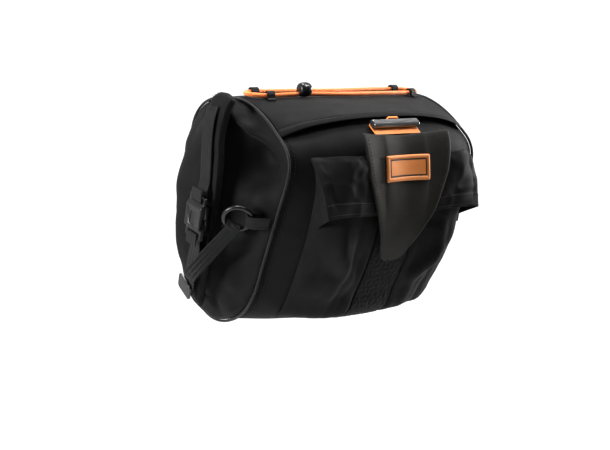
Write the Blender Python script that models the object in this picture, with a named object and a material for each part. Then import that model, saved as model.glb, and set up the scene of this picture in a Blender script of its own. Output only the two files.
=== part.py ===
"""Bicycle handlebar bag.

A hollow barrel shell lies in front of the handlebar, with a rolled closure at each end.
Two cuffed pouches and a central tongue cover its front, and two straps hang it on the bar.
Metres, +Z up, +Y towards the rider. The origin lies on the bar's axis, midway between the straps.
"""
import math

import bmesh
import bpy
import numpy as np
from mathutils import Vector

# Main sizes of the bag
SEAM_LENGTH = 0.254         # between the two end seams
BAG_DEPTH = 0.185           # back to front, at an end seam
BAG_HEIGHT = 0.245
END_REACH = 0.034           # how far a mouth lies past its seam
CROWN_POWER = 2.5           # how soon the barrel swells past a seam
WALL = 0.0018
GAP = 0.0003                # between pieces that touch
SHEET_GAP = 0.0009          # under a sheet that lies on the curved barrel

# Handlebar and what holds the bag on it
BAR_RADIUS = 0.0159
BAR_STAND_OFF = 0.032       # bar axis to the back of the barrel
BAR_DROP = 0.036            # bar axis below the top of the barrel
BAR_STRAP_APART = 0.110
BAR_STRAP_WIDTH = 0.025
BAR_STRAP_THICK = 0.002
BACK_PANEL_THICK = 0.003
BACK_PANEL_LENGTH = 0.190
SPACER_WIDTH = 0.036
SPACER_HEIGHT = 0.044
SLOT_CLEARANCE = 0.0006     # round a strap in its slot

# Rolled ends
MOUTH_WIDTH = 0.0075
ROLL_WIDTH = 0.034
ROLL_THICK = 0.014
EAR_LENGTH = 0.007          # roll beyond each end of the mouth
LIP_HEIGHT = 0.0075         # lips of a mouth above the end cloth
RIGHT_EAR_DROP = 0.037      # the right roll's top ear is pulled lower
PIPING_DIAMETER = 0.0032

# Straps, ring and buckle of a rolled end
WEB_WIDTH = 0.020
WEB_THICK = 0.0016
RING_WEB_WIDTH = 0.016
BUCKLE_LENGTH = 0.046
BUCKLE_WIDTH = 0.029
BUCKLE_THICK = 0.010
BUCKLE_AT = 0.57            # along the roll, from its top
BUCKLE_LIFT = 0.0075        # buckle's mid-plane off the roll
BUCKLE_BAR = 0.0035
BUCKLE_SLOT = 0.0036
PRONG_THICK = 0.0036
PRONG_ARM = 0.0045
PRONG_GUIDE = 0.0036
BUCKLE_WALL = 0.0026
BUCKLE_WINDOW = 0.009
BUCKLE_RIM = 0.004
STRAP_BEND = 0.0012
STRAP_TAIL = 0.006
RING_INNER = 0.0255
RING_WIRE = 0.0045
RING_STRAP_RISE = 0.004
CLIP_THICK = 0.0022
CLIP_WIDTH = WEB_WIDTH + 0.006
CLIP_LENGTH = 0.020

# Front: pouches, cuffs, tongue
POUCH_INNER_X = 0.028       # seams, from the middle of the bag
POUCH_OUTER_X = 0.098
POUCH_STAND = 0.014         # how far a pouch's mouth stands off the barrel
POUCH_WALL = 0.0016
GATHER_DEPTH = 0.0026
GATHER_COUNT = 4.5
CUFF_INNER_X = 0.030
CUFF_OUTER_X = 0.108
CUFF_FLARE = 0.036          # how far a cuff's outer corner stands out at its hem
GUSSET_TURN = 0.0045
CUFF_INNER_STAND = 0.006
CUFF_THICK = 0.0020
TONGUE_TOP_WIDTH = 0.118
TONGUE_STAND = 0.008        # how far the tongue bridges over the cuffs
TONGUE_THICK = 0.0022
LOOP_STRIP_WIDTH = 0.050
LOOP_STRIP_THICK = 0.0016
PATCH_LENGTH = 0.058
PATCH_HEIGHT = 0.0245
PATCH_THICK = 0.0018
PATCH_BORDER = 0.0024
PATCH_RELIEF = 0.0006
CLASP_LENGTH = 0.062
CLASP_HEIGHT = 0.010
CLASP_DEPTH = 0.007
CLASP_PLATE_HEIGHT = 0.017
CLASP_PLATE_THICK = 0.0016
TAB_WIDTH = 0.015
TAB_THICK = 0.0024

# Top: cover and shock cord
TOP_THICK = 0.0030
TOP_LIP_LIFT = 0.0045
CORD_DIAMETER = 0.005
ANCHOR_WIDTH = 0.009
ANCHOR_REACH = 0.009
ANCHOR_THICK = 0.0016
CORD_LOCK_DIAMETER = 0.016
CORD_CLEARANCE = 0.0010     # inside a loop of webbing

# Resolution of the barrel
RING_POINTS = 36
BARREL_SPANS = 12
END_STATIONS = (0.18, 0.42, 0.66, 0.90, 1.0)

HALF_SEAM = SEAM_LENGTH / 2
BACK_Y = -BAR_STAND_OFF
BASE_Z = BAR_DROP - BAG_HEIGHT

# Outline of the barrel, from its top down the front and up the back, as shares of the bag's
# depth (from the back) and height (from the base). Fullness: above 0 the end cloth swells
# past the seam, below 0 it is drawn in.
#    name          end seam         middle of bag   fullness
SECTION = (
    ("top",        0.368, 0.996,    0.368, 1.000,   0.2),
    ("top_front",  0.541, 0.988,    0.595, 0.992,   0.0),
    ("top_fall",   0.681, 0.955,    0.789, 0.967,  -0.2),
    ("shoulder",   0.800, 0.906,    0.930, 0.935,  -0.4),
    ("seam",       0.892, 0.853,    1.027, 0.898,  -0.5),
    ("brow",       0.973, 0.796,    1.108, 0.849,  -0.4),
    ("bulge",      1.000, 0.731,    1.141, 0.780,  -0.2),
    ("cheek",      0.968, 0.649,    1.146, 0.682,   0.0),
    ("upper",      0.897, 0.535,    1.135, 0.551,   0.1),
    ("middle",     0.822, 0.412,    1.092, 0.412,   0.3),
    ("lower",      0.746, 0.294,    1.011, 0.282,   0.6),
    ("jaw",        0.676, 0.184,    0.914, 0.159,   0.9),
    ("chin",       0.578, 0.090,    0.816, 0.047,   1.0),
    ("under",      0.443, 0.029,    0.584, 0.002,   1.0),
    ("base",       0.270, 0.004,    0.281, 0.000,   1.1),
    ("heel",       0.119, 0.037,    0.119, 0.033,   1.3),
    ("back_low",   0.027, 0.131,    0.022, 0.127,   1.5),
    ("back_1",     0.000, 0.294,    0.000, 0.294,   1.6),
    ("back_2",     0.000, 0.498,    0.000, 0.498,   1.6),
    ("back_3",     0.000, 0.702,    0.000, 0.702,   1.2),
    ("back_high",  0.032, 0.878,    0.027, 0.878,   0.6),
    ("back_top",   0.162, 0.971,    0.162, 0.976,   0.2),
)
ROW = {entry[0]: index for index, entry in enumerate(SECTION)}
ROWS = len(SECTION)

# Line of a mouth, from its top to its bottom: reach past the seam as a share of END_REACH,
# then shares of the bag's depth and height.
#    name      reach  depth  height
MOUTH_LINE = (
    ("top",    0.55,  0.565, 1.000),
    ("upper",  0.82,  0.560, 0.878),
    ("waist",  0.95,  0.560, 0.673),
    ("middle", 1.00,  0.520, 0.478),
    ("lower",  0.97,  0.420, 0.306),
    ("bottom", 0.70,  0.290, 0.151),
)

# Folds of the end cloth between seam and roll: section row they follow, their spread in rows,
# and their depth at the left and the right end as shares of END_REACH. Below 0 it is a ridge.
#    name            row   spread  left   right
END_FOLDS = (
    ("upper_hollow", 5.4,  1.6,    0.34,  0.20),
    ("strap_hollow", 8.9,  0.9,    0.10,  0.10),
    ("lower_hollow", 10.6, 0.8,    0.16,  0.10),
    ("back_swell",   17.4, 1.9,   -0.52, -0.42),
)

# Section rows that bound a pouch and its cuff
POUCH_STEPS = 10
POUCH_TOP = 10 * ROWS / RING_POINTS
POUCH_FOOT = POUCH_TOP + POUCH_STEPS * ROWS / RING_POINTS
CUFF_TOP_OUTER = ROW["bulge"] - 0.15
CUFF_TOP_INNER = ROW["bulge"] + 0.35
CUFF_HEM_OUTER = ROW["cheek"] + 0.85
CUFF_HEM_INNER = ROW["upper"] + 0.25

# Centre of a ring: reach past the seam, then shares of the bag's depth and height
RING_PLACE = (0.98, 0.765, 0.508)

# Tongue, from its top edge to its tip: section row, share of its top width, and lift of its
# middle and of its edges off the barrel as shares of its stand.
#    name         row    width  middle  edge
TONGUE_LINE = (
    ("top",       5.22,  1.00,  0.30,   1.45),
    ("over_cuff", 6.00,  0.98,  0.45,   1.90),
    ("patch",     6.90,  0.92,  0.55,   2.00),
    ("waist",     7.55,  0.80,  0.75,   1.85),
    ("cuff_hem",  8.20,  0.66,  0.90,   1.70),
    ("taper",     8.80,  0.48,  0.75,   1.10),
    ("neck",      9.40,  0.32,  0.48,   0.55),
    ("tip",       9.78,  0.22,  0.38,   0.38),
)

# Route of the shock cord over the top: shares of half the seam length, and section row.
#    name           x      row
CORD_ROUTE = (
    ("lock_left",   -0.50,  1.16),
    ("to_left",     -0.64,  1.20),
    ("front_left",  -0.78,  1.22),
    ("turn_1",      -0.885, 1.08),
    ("turn_2",      -0.92,  0.80),
    ("turn_3",      -0.885, 0.52),
    ("back_left",   -0.78,  0.38),
    ("back_1",      -0.40,  0.46),
    ("back_2",       0.00,  0.60),
    ("back_3",       0.40,  0.46),
    ("back_right",   0.78,  0.38),
    ("turn_4",       0.885, 0.52),
    ("turn_5",       0.92,  0.80),
    ("turn_6",       0.885, 1.08),
    ("front_right",  0.78,  1.22),
    ("front_1",      0.40,  1.30),
    ("front_2",      0.00,  1.32),
    ("front_3",     -0.25,  1.22),
    ("lock_right",  -0.38,  1.16),
)
CORD_LOOPS = ("front_left", "front_right", "back_left", "back_right")


def clear_scene():
    for item in list(bpy.data.objects):
        bpy.data.objects.remove(item, do_unlink=True)


def make_material(name, color, roughness, metallic=0.0):
    """A Principled material of one colour."""
    material = bpy.data.materials.new(name)
    material.use_nodes = True
    shader = material.node_tree.nodes["Principled BSDF"]
    shader.inputs["Base Color"].default_value = (*color, 1.0)
    shader.inputs["Roughness"].default_value = roughness
    shader.inputs["Metallic"].default_value = metallic
    material.diffuse_color = (*color, 1.0)
    return material


def add_object(name, data, material):
    item = bpy.data.objects.new(name, data)
    item.data.materials.append(material)
    bpy.context.collection.objects.link(item)
    return item


def add_mesh(name, points, faces, material, outward=True):
    """An object from points and faces; a closed one gets its faces turned outwards."""
    mesh = bpy.data.meshes.new(name)
    mesh.from_pydata([tuple(point) for point in points], [], faces)
    if outward:
        work = bmesh.new()
        work.from_mesh(mesh)
        bmesh.ops.recalc_face_normals(work, faces=work.faces)
        work.to_mesh(mesh)
        work.free()
    mesh.validate()
    mesh.shade_smooth()
    mesh.set_sharp_from_angle(angle=math.radians(40))
    return add_object(name, mesh, material)


def add_sheet(name, grid, thickness, material):
    """A sheet whose grid runs down its rows and along +X, thickened outwards."""
    rows, columns = len(grid), len(grid[0])
    points = [point for line in grid for point in line]
    faces = []
    for i in range(rows - 1):
        for j in range(columns - 1):
            corner = i * columns + j
            faces.append((corner, corner + columns, corner + columns + 1, corner + 1))
    item = add_mesh(name, points, faces, material, outward=False)
    solid = item.modifiers.new("thickness", "SOLIDIFY")
    solid.thickness = thickness
    solid.offset = 1.0
    solid.use_even_offset = True
    return item


def add_sweep(name, frames, profile, material, closed=False):
    """A profile carried along frames of (centre, side, up), with flat ends unless closed."""
    points = []
    for centre, side, up in frames:
        points += [centre + side * a + up * b for a, b in profile]
    count, turns = len(profile), len(frames)
    faces = []
    for i in range(turns if closed else turns - 1):
        here, there = i * count, (i + 1) % turns * count
        for j in range(count):
            k = (j + 1) % count
            faces.append((here + j, here + k, there + k, there + j))
    if not closed:
        faces.append(tuple(range(count)))
        faces.append(tuple(range((turns - 1) * count, turns * count)))
    return add_mesh(name, points, faces, material)


def add_prism(name, outline, low, high, frame, material):
    """An outline in a frame's first two axes, extruded along its third."""
    origin, first, second, third = frame
    points = [origin + first * a + second * b + third * low for a, b in outline]
    points += [origin + first * a + second * b + third * high for a, b in outline]
    count = len(outline)
    faces = [tuple(range(count)), tuple(range(count, 2 * count))]
    for j in range(count):
        k = (j + 1) % count
        faces.append((j, k, count + k, count + j))
    return add_mesh(name, points, faces, material)


def add_tube(name, points, diameter, material, cyclic=False, sides=6):
    """A round cord through points."""
    curve = bpy.data.curves.new(name, "CURVE")
    curve.dimensions = "3D"
    spline = curve.splines.new("POLY")
    spline.points.add(len(points) - 1)
    for knot, point in zip(spline.points, points):
        knot.co = (*point, 1.0)
    spline.use_cyclic_u = cyclic
    curve.bevel_depth = diameter / 2
    curve.bevel_resolution = sides // 2 - 2
    curve.use_fill_caps = not cyclic
    return add_object(name, curve, material)


def bevel(item, width, segments=2):
    """Rounds the sharp edges of a solid."""
    rounding = item.modifiers.new("rounding", "BEVEL")
    rounding.width = width
    rounding.segments = segments
    rounding.limit_method = "ANGLE"
    rounding.angle_limit = math.radians(50)


def cut(item, cutter):
    """Takes a cutter's space out of a solid."""
    cutter.hide_render = True
    cutter.display_type = "WIRE"
    boolean = item.modifiers.new("cut", "BOOLEAN")
    boolean.operation = "DIFFERENCE"
    boolean.solver = "EXACT"
    boolean.object = cutter


def rectangle(width, height):
    a, b = width / 2, height / 2
    return [(-a, -b), (a, -b), (a, b), (-a, b)]


def rounded_rectangle(width, height, radius, steps=2):
    """A rectangle's outline with round corners."""
    outline = []
    corners = ((1, 1, 0), (-1, 1, 90), (-1, -1, 180), (1, -1, 270))
    for sign_a, sign_b, start in corners:
        centre_a, centre_b = sign_a * (width / 2 - radius), sign_b * (height / 2 - radius)
        for step in range(steps + 1):
            turn = math.radians(start + 90 * step / steps)
            outline.append((centre_a + radius * math.cos(turn), centre_b + radius * math.sin(turn)))
    return outline


def spline_at(points, t, closed):
    """A smooth curve through points; t counts points."""
    i = math.floor(t)
    f = t - i
    count = len(points)
    picks = [i - 1, i, i + 1, i + 2]
    if closed:
        p0, p1, p2, p3 = (points[k % count] for k in picks)
    else:
        if i >= count - 1:
            return points[-1] + (points[-1] - points[-2]) * (t - (count - 1))
        if i < 0:
            return points[0] + (points[1] - points[0]) * t
        p0, p1, p2, p3 = (points[min(max(k, 0), count - 1)] for k in picks)
    return 0.5 * (2 * p1 + (p2 - p0) * f + (2 * p0 - 5 * p1 + 4 * p2 - p3) * f * f
                  + (3 * p1 - p0 - 3 * p2 + p3) * f ** 3)


SECTION_VALUES = np.array([entry[1:] for entry in SECTION])
MOUTH_VALUES = np.array([entry[1:] for entry in MOUTH_LINE])
TONGUE_VALUES = np.array([entry[1:] for entry in TONGUE_LINE])


def place(x, depth_share, height_share):
    """A point from its distance along the bag and its shares of depth and height."""
    return Vector((x, BACK_Y - depth_share * BAG_DEPTH, BASE_Z + height_share * BAG_HEIGHT))


def barrel_point(x, row):
    """A point of the barrel's outer face, between its seams."""
    values = spline_at(SECTION_VALUES, row, closed=True)
    crown = 1 - min(1.0, abs(x) / HALF_SEAM) ** CROWN_POWER
    depth = values[0] + (values[2] - values[0]) * crown
    height = values[1] + (values[3] - values[1]) * crown
    return place(x, depth, height)


def barrel_normal(x, row):
    """The barrel's outward direction."""
    step = 0.002
    inner = math.copysign(min(abs(x), HALF_SEAM - 2 * step), x)
    along = barrel_point(inner + step, row) - barrel_point(inner - step, row)
    down = barrel_point(inner, row + 0.05) - barrel_point(inner, row - 0.05)
    return down.cross(along).normalized()


def on_barrel(x, row, lift):
    return barrel_point(x, row) + barrel_normal(x, row) * lift


def mouth_point(side, t):
    """A point of an end's mouth, from 0 at its top to 1 at its bottom."""
    reach, depth, height = spline_at(MOUTH_VALUES, t * (len(MOUTH_LINE) - 1), closed=False)
    point = place(side * (HALF_SEAM + reach * END_REACH), depth, height)
    if side > 0:
        point.z -= RIGHT_EAR_DROP * max(0.0, 1 - t) ** 2
    return point


def mouth_frame(side, t):
    """Centre, forward, outward and downward directions of a roll at t."""
    step = 0.01
    down = (mouth_point(side, t + step) - mouth_point(side, t - step)).normalized()
    outward = Vector((side, 0, 0))
    outward = (outward - down * outward.dot(down)).normalized()
    return mouth_point(side, t), outward.cross(down) * -side, outward, down


def mouth_ring_point(side, row):
    """Where the end cloth at a section row meets the lips of its mouth."""
    base = ROW["base"]
    front = row <= base
    t = row / base if front else (ROWS - row) / (ROWS - base)
    centre, forward, _, _ = mouth_frame(side, t)
    half = (MOUTH_WIDTH / 2 + WALL) * (1 - abs(2 * t - 1) ** 8)
    return centre + forward * (half if front else -half)


def end_point(side, share, row):
    """A point of an end's cloth, from 0 at the seam to 1 at the mouth."""
    seam = barrel_point(side * HALF_SEAM, row)
    lip = mouth_ring_point(side, row)
    if share == 1.0:
        return lip
    fullness = spline_at(SECTION_VALUES, row, closed=True)[4]
    drawn = share ** (1 + fullness) if fullness > 0 else share ** (1 / (1 - fullness))
    point = seam.lerp(lip, drawn)
    point.x = seam.x + (lip.x - side * LIP_HEIGHT - seam.x) * share
    for _, centre, spread, left, right in END_FOLDS:
        away = (row - centre) / spread
        depth = left if side < 0 else right
        point.x -= side * depth * END_REACH * math.exp(-away * away) * math.sin(math.pi * share) ** 2
    return point


def build_shell(cloth):
    """The main compartment: one cloth wall, open at the two mouths."""
    rows = [ROWS * k / RING_POINTS for k in range(RING_POINTS)]
    rings = [[end_point(-1, share, row) for row in rows] for share in reversed(END_STATIONS)]
    for k in range(BARREL_SPANS + 1):
        x = HALF_SEAM * math.sin(math.pi * (k / BARREL_SPANS - 0.5))
        rings.append([barrel_point(x, row) for row in rows])
    rings += [[end_point(1, share, row) for row in rows] for share in END_STATIONS]
    points = [point for ring in rings for point in ring]
    faces = []
    for i in range(len(rings) - 1):
        for j in range(RING_POINTS):
            k = (j + 1) % RING_POINTS
            here, there = i * RING_POINTS, (i + 1) * RING_POINTS
            faces.append((here + j, here + k, there + k, there + j))
    item = add_mesh("body_shell", points, faces, cloth, outward=False)
    wall = item.modifiers.new("wall", "SOLIDIFY")
    wall.thickness = WALL
    wall.offset = -1.0
    wall.use_even_offset = True


def build_piping(side, suffix, material):
    """The piped seam where the end cloth meets the barrel."""
    lift = PIPING_DIAMETER / 2 + SHEET_GAP
    rows = [ROWS * k / RING_POINTS for k in range(RING_POINTS)]
    points = [on_barrel(side * HALF_SEAM, row, lift) for row in rows]
    add_tube("end_piping_" + suffix, points, PIPING_DIAMETER, material, cyclic=True, sides=6)


def build_top_panel(material):
    """The cover of the top, whose front edge stands out over the front."""
    half = HALF_SEAM - PIPING_DIAMETER - 2 * SHEET_GAP
    front, sweep = ROW["seam"] - 0.12, 0.30
    back, steps, rising = -0.9, 10, 2.2
    grid = []
    for k in range(steps + 1):
        row = back + (front - back) * k / steps
        lip = max(0.0, (row - rising) / (front - rising)) ** 1.5
        lift = SHEET_GAP + lip * TOP_LIP_LIFT
        shares = [j / 6 - 1 for j in range(13)]
        grid.append([on_barrel(half * a, row + lip * sweep * a * a, lift) for a in shares])
    add_sheet("top_panel", grid, TOP_THICK, material)


def off_barrel(x, row, stand):
    """A point over the barrel, lifted by the sheet gap and then straight forward."""
    outward = barrel_normal(x, row)
    forward = Vector((0, outward.y, outward.z)).normalized()
    return barrel_point(x, row) + outward * SHEET_GAP + forward * stand


def pouch_stand(x):
    """How far a pouch's mouth stands off the barrel, at a distance from the middle."""
    share = (abs(x) - POUCH_INNER_X) / (POUCH_OUTER_X - POUCH_INNER_X)
    share = max(0.0, min(1.0, share))
    return POUCH_STAND * max(0.0, math.sin(math.pi * share * share)) ** 0.8


def in_rising_x(side, columns):
    """Columns given from the middle outwards, in the order of rising X on their side."""
    placed = [(side * x, *rest) for x, *rest in columns]
    return placed if side > 0 else placed[::-1]


def pouch_fall(row):
    """How a pouch's stand changes from its mouth at the top to its foot."""
    down = max(0.0, min(1.0, (row - POUCH_TOP) / (POUCH_FOOT - POUCH_TOP)))
    return (1 - down ** 2.4) * (1 + 0.35 * math.sin(math.pi * down)), down


def build_pouch(side, suffix, material):
    """An open pocket: flat against the barrel at its seams, gathered at its foot."""
    span = POUCH_OUTER_X - POUCH_INNER_X
    shares = (0.0, 0.08, 0.18, 0.29, 0.40, 0.51, 0.62, 0.73, 0.84, 0.93, 1.0)
    columns = in_rising_x(side, [(POUCH_INNER_X + span * share, share) for share in shares])
    grid = []
    for k in range(POUCH_STEPS + 1):
        row = POUCH_TOP + (POUCH_FOOT - POUCH_TOP) * k / POUCH_STEPS
        fall, down = pouch_fall(row)
        below = max(0.0, math.sin(math.pi * max(0.0, down - 0.32) / 0.68)) ** 0.8
        line = []
        for x, share in columns:
            wave = math.sin(2 * math.pi * GATHER_COUNT * share) * math.sin(math.pi * share)
            line.append(off_barrel(x, row, max(0.0, pouch_stand(x) * fall + GATHER_DEPTH * wave * below)))
        grid.append(line)
    add_sheet("pouch_" + suffix, grid, POUCH_WALL, material)


def cuff_rows(share):
    """Section rows of a cuff's top edge and hem, from 0 at its inner end to 1 at its outer end."""
    top = CUFF_TOP_INNER + (CUFF_TOP_OUTER - CUFF_TOP_INNER) * share
    return top, CUFF_HEM_INNER + (CUFF_HEM_OUTER - CUFF_HEM_INNER) * share


def cuff_stand(x, row):
    """How far a cuff stands off the barrel: close at the mouth, flared at its hem."""
    share = max(0.0, min(1.0, (abs(x) - CUFF_INNER_X) / (CUFF_OUTER_X - CUFF_INNER_X)))
    top, hem = cuff_rows(share)
    down = max(0.0, min(1.0, (row - top) / (hem - top)))
    close = pouch_stand(x) * pouch_fall(row)[0] + POUCH_WALL + 2 * SHEET_GAP
    flared = CUFF_INNER_STAND + (CUFF_FLARE - CUFF_INNER_STAND) * share ** 1.2
    return close + (max(flared, close) - close) * down ** 0.9


def build_cuff(side, suffix, material):
    """A pouch's turned-down cuff, with a side gusset that reaches back to the barrel."""
    span = CUFF_OUTER_X - CUFF_INNER_X
    shares = (0.0, 0.14, 0.28, 0.42, 0.56, 0.70, 0.84, 1.0)
    columns = [(CUFF_INNER_X + span * share, share, 1.0) for share in shares]
    columns += [(CUFF_OUTER_X - GUSSET_TURN / 3, 1.0, 0.5), (CUFF_OUTER_X - GUSSET_TURN, 1.0, 0.03)]
    grid = []
    for down in (0.0, 0.17, 0.34, 0.51, 0.68, 0.84, 1.0):
        line = []
        for x, share, out in in_rising_x(side, columns):
            top, hem = cuff_rows(share)
            row = top + (hem - top) * down
            line.append(off_barrel(x, row, cuff_stand(x, row) * out))
        grid.append(line)
    add_sheet("pouch_cuff_" + suffix, grid, CUFF_THICK, material)


def tongue_stand(x, row):
    """How far the tongue stands off the barrel at a place on it."""
    rows = TONGUE_VALUES[:, 0]
    half = np.interp(row, rows, TONGUE_VALUES[:, 1]) * TONGUE_TOP_WIDTH / 2
    middle = np.interp(row, rows, TONGUE_VALUES[:, 2])
    edge = np.interp(row, rows, TONGUE_VALUES[:, 3])
    stand = float(middle + (edge - middle) * min(1.0, abs(x) / half) ** 2.6) * TONGUE_STAND
    if abs(x) > CUFF_INNER_X - CUFF_THICK and row < CUFF_HEM_OUTER:
        stand = max(stand, cuff_stand(x, row) + CUFF_THICK + 2 * SHEET_GAP)
    return stand


def build_tongue(material):
    """The tapered tongue that comes down over both cuffs on to the loop strip."""
    rows = TONGUE_VALUES[:, 0]
    grid = []
    steps = 14
    for k in range(steps + 1):
        row = rows[0] + (rows[-1] - rows[0]) * k / steps
        half = np.interp(row, rows, TONGUE_VALUES[:, 1]) * TONGUE_TOP_WIDTH / 2
        across = [half * (j / 4 - 1) for j in range(9)]
        grid.append([off_barrel(x, row, tongue_stand(x, row)) for x in across])
    add_sheet("tongue", grid, TONGUE_THICK, material)


def build_loop_strip(material):
    """The strip of loop tape between the pouches, down the front and under the base."""
    half = LOOP_STRIP_WIDTH / 2
    start, stop = ROW["upper"] + 0.5, ROW["under"] + 0.4
    rows = [start + (stop - start) * k / 10 for k in range(11)]
    grid = [[on_barrel(half * (j - 1), row, SHEET_GAP) for j in range(3)] for row in rows]
    add_sheet("loop_strip", grid, LOOP_STRIP_THICK, material)


def tongue_frame(row, lift):
    """Origin and axes of a flat piece on the tongue: along, up and outwards."""
    outward = barrel_normal(0.0, row)
    along = Vector((1, 0, 0))
    return on_barrel(0.0, row, lift), along, outward.cross(along), outward


def build_patch(material):
    """A bare rubber patch with a raised border, sewn on the tongue."""
    middle = ROW["bulge"] + 0.72
    row_length = (barrel_point(0, middle + 0.5) - barrel_point(0, middle - 0.5)).length
    half_x, half_row = PATCH_LENGTH / 2, PATCH_HEIGHT / 2 / row_length
    inner_x, inner_row = 1 - PATCH_BORDER / half_x, 1 - PATCH_BORDER / half_row / row_length
    grid = []
    for b in (-1.0, -inner_row, -inner_row + 0.06, -0.3, 0.3, inner_row - 0.06, inner_row, 1.0):
        line = []
        for a in (-1.0, -inner_x, -inner_x + 0.03, -0.5, 0.0, 0.5, inner_x - 0.03, inner_x, 1.0):
            x, row = half_x * a, middle + half_row * b
            raised = abs(a) >= inner_x or abs(b) >= inner_row
            lift = tongue_stand(x, row) + TONGUE_THICK + SHEET_GAP + (PATCH_RELIEF if raised else 0.0)
            line.append(off_barrel(x, row, lift))
        grid.append(line)
    add_sheet("patch", grid, PATCH_THICK, material)


def build_clasp(bar_material, plate_material):
    """The bar clasp over the tongue's top edge, with its plate and pull tab."""
    frame = tongue_frame(ROW["seam"] + 0.62, GAP)
    origin, along, up, outward = frame
    plate = rectangle(CLASP_LENGTH, CLASP_PLATE_HEIGHT)
    add_prism("clasp_plate", plate, 0.0, CLASP_PLATE_THICK, frame, plate_material)
    seat = (origin + up * (CLASP_PLATE_HEIGHT - CLASP_HEIGHT) / 2, outward, up, along)
    middle = CLASP_PLATE_THICK + GAP + CLASP_DEPTH / 2
    profile = [(a + middle, b) for a, b in rounded_rectangle(CLASP_DEPTH, CLASP_HEIGHT, 0.003)]
    add_prism("clasp_bar", profile, -CLASP_LENGTH / 2, CLASP_LENGTH / 2, seat, bar_material)
    top = origin + up * (CLASP_PLATE_HEIGHT / 2 + GAP) + outward * middle
    tab = rounded_rectangle(TAB_WIDTH, CLASP_DEPTH * 0.9, 0.002)
    add_prism("clasp_tab", tab, 0.0, TAB_THICK, (top, along, outward, up), plate_material)


def build_roll(side, suffix, material):
    """The rolled cloth that closes a mouth, with an ear at each end."""
    length = sum((mouth_point(side, (k + 1) / 20) - mouth_point(side, k / 20)).length for k in range(20))
    ear = EAR_LENGTH / length
    frames = []
    steps = 12
    for k in range(steps + 1):
        t = -ear + (1 + 2 * ear) * k / steps
        centre, forward, outward, _ = mouth_frame(side, t)
        frames.append((centre + outward * (SHEET_GAP + ROLL_THICK / 2), forward, outward))
    profile = rounded_rectangle(ROLL_WIDTH, ROLL_THICK, ROLL_THICK * 0.45)
    add_sweep("end_roll_" + suffix, frames, profile, material)


def roll_outside(side, t, lift, aside=0.0):
    """A point above a roll's outer face, and the outward direction there."""
    centre, forward, outward, _ = mouth_frame(side, t)
    return centre + outward * (SHEET_GAP + ROLL_THICK + lift) + forward * aside, outward


def ribbon_frames(path):
    """Frames of a strap along (point, outward) pairs."""
    frames = []
    for k, (point, outward) in enumerate(path):
        before, after = path[max(k - 1, 0)][0], path[min(k + 1, len(path) - 1)][0]
        along = (after - before).normalized()
        across = outward.cross(along).normalized()
        frames.append((point, across, along.cross(across)))
    return frames


def build_roll_buckle(side, suffix, web, plastic):
    """The side release buckle over a roll and the two straps that it joins."""
    centre, across, outward, along = mouth_frame(side, BUCKLE_AT)
    centre = centre + outward * (SHEET_GAP + ROLL_THICK + BUCKLE_LIFT)
    half, neck = BUCKLE_LENGTH / 2, BUCKLE_BAR + BUCKLE_SLOT
    body, thin = BUCKLE_THICK / 2, PRONG_THICK / 2
    socket_end = half - neck - BUCKLE_BAR
    wide = BUCKLE_WIDTH / 2
    rise = 1.5 * neck
    knee = neck + 2 * GAP
    profile = [(-half, -thin), (-half + knee, -thin), (-half + rise, -body), (socket_end, -body),
               (socket_end, body), (-half + rise, body), (-half + knee, thin), (-half, thin)]
    lengthwise = (centre, along, outward, across)
    flat = (centre, along, across, outward)
    socket = add_prism("buckle_socket_" + suffix, profile, -wide, wide, lengthwise, plastic)
    room = thin + 2 * GAP
    inner, back = wide - BUCKLE_WALL, -half + rise + BUCKLE_WALL
    window = (socket_end - BUCKLE_RIM - BUCKLE_WINDOW, socket_end - BUCKLE_RIM)
    cavity = [(back, inner), (window[0], inner), (window[0], 2 * wide), (window[1], 2 * wide),
              (window[1], inner), (half, inner)]
    cavity += [(a, -b) for a, b in reversed(cavity)]
    cut(socket, add_prism("cavity_" + suffix, cavity, -room, room, flat, plastic))
    slot_wide = WEB_WIDTH / 2 + SLOT_CLEARANCE
    slot = [(-half + BUCKLE_BAR, -slot_wide), (-half + neck, -slot_wide),
            (-half + neck, slot_wide), (-half + BUCKLE_BAR, slot_wide)]
    cut(socket, add_prism("slot_" + suffix, slot, -2 * body, 2 * body, flat, plastic))
    arm_out, arm_in, guide = inner - 2 * GAP, inner - PRONG_ARM, PRONG_GUIDE / 2
    base = socket_end + GAP
    reach = back + BUCKLE_RIM
    prong = [(half, -wide), (half, wide), (base, wide), (base, arm_out), (window[1] - GAP, arm_out),
             (window[1] - GAP, wide - 2 * GAP), (window[0] + 0.003, wide - 0.0012),
             (window[0] + GAP, arm_out), (reach, arm_out - 0.003),
             (reach, arm_in - 0.001), (base, arm_in), (base, guide), (reach + 0.003, guide)]
    prong += [(a, -b) for a, b in reversed(prong[2:])]
    prong_item = add_prism("buckle_prong_" + suffix, prong, -thin, thin, flat, plastic)
    slot = [(-a, b) for a, b in slot]
    cut(prong_item, add_prism("prong_slot_" + suffix, slot, -2 * body, 2 * body, flat, plastic))
    build_roll_straps(side, suffix, web, (centre, along, outward), half, thin)


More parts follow.
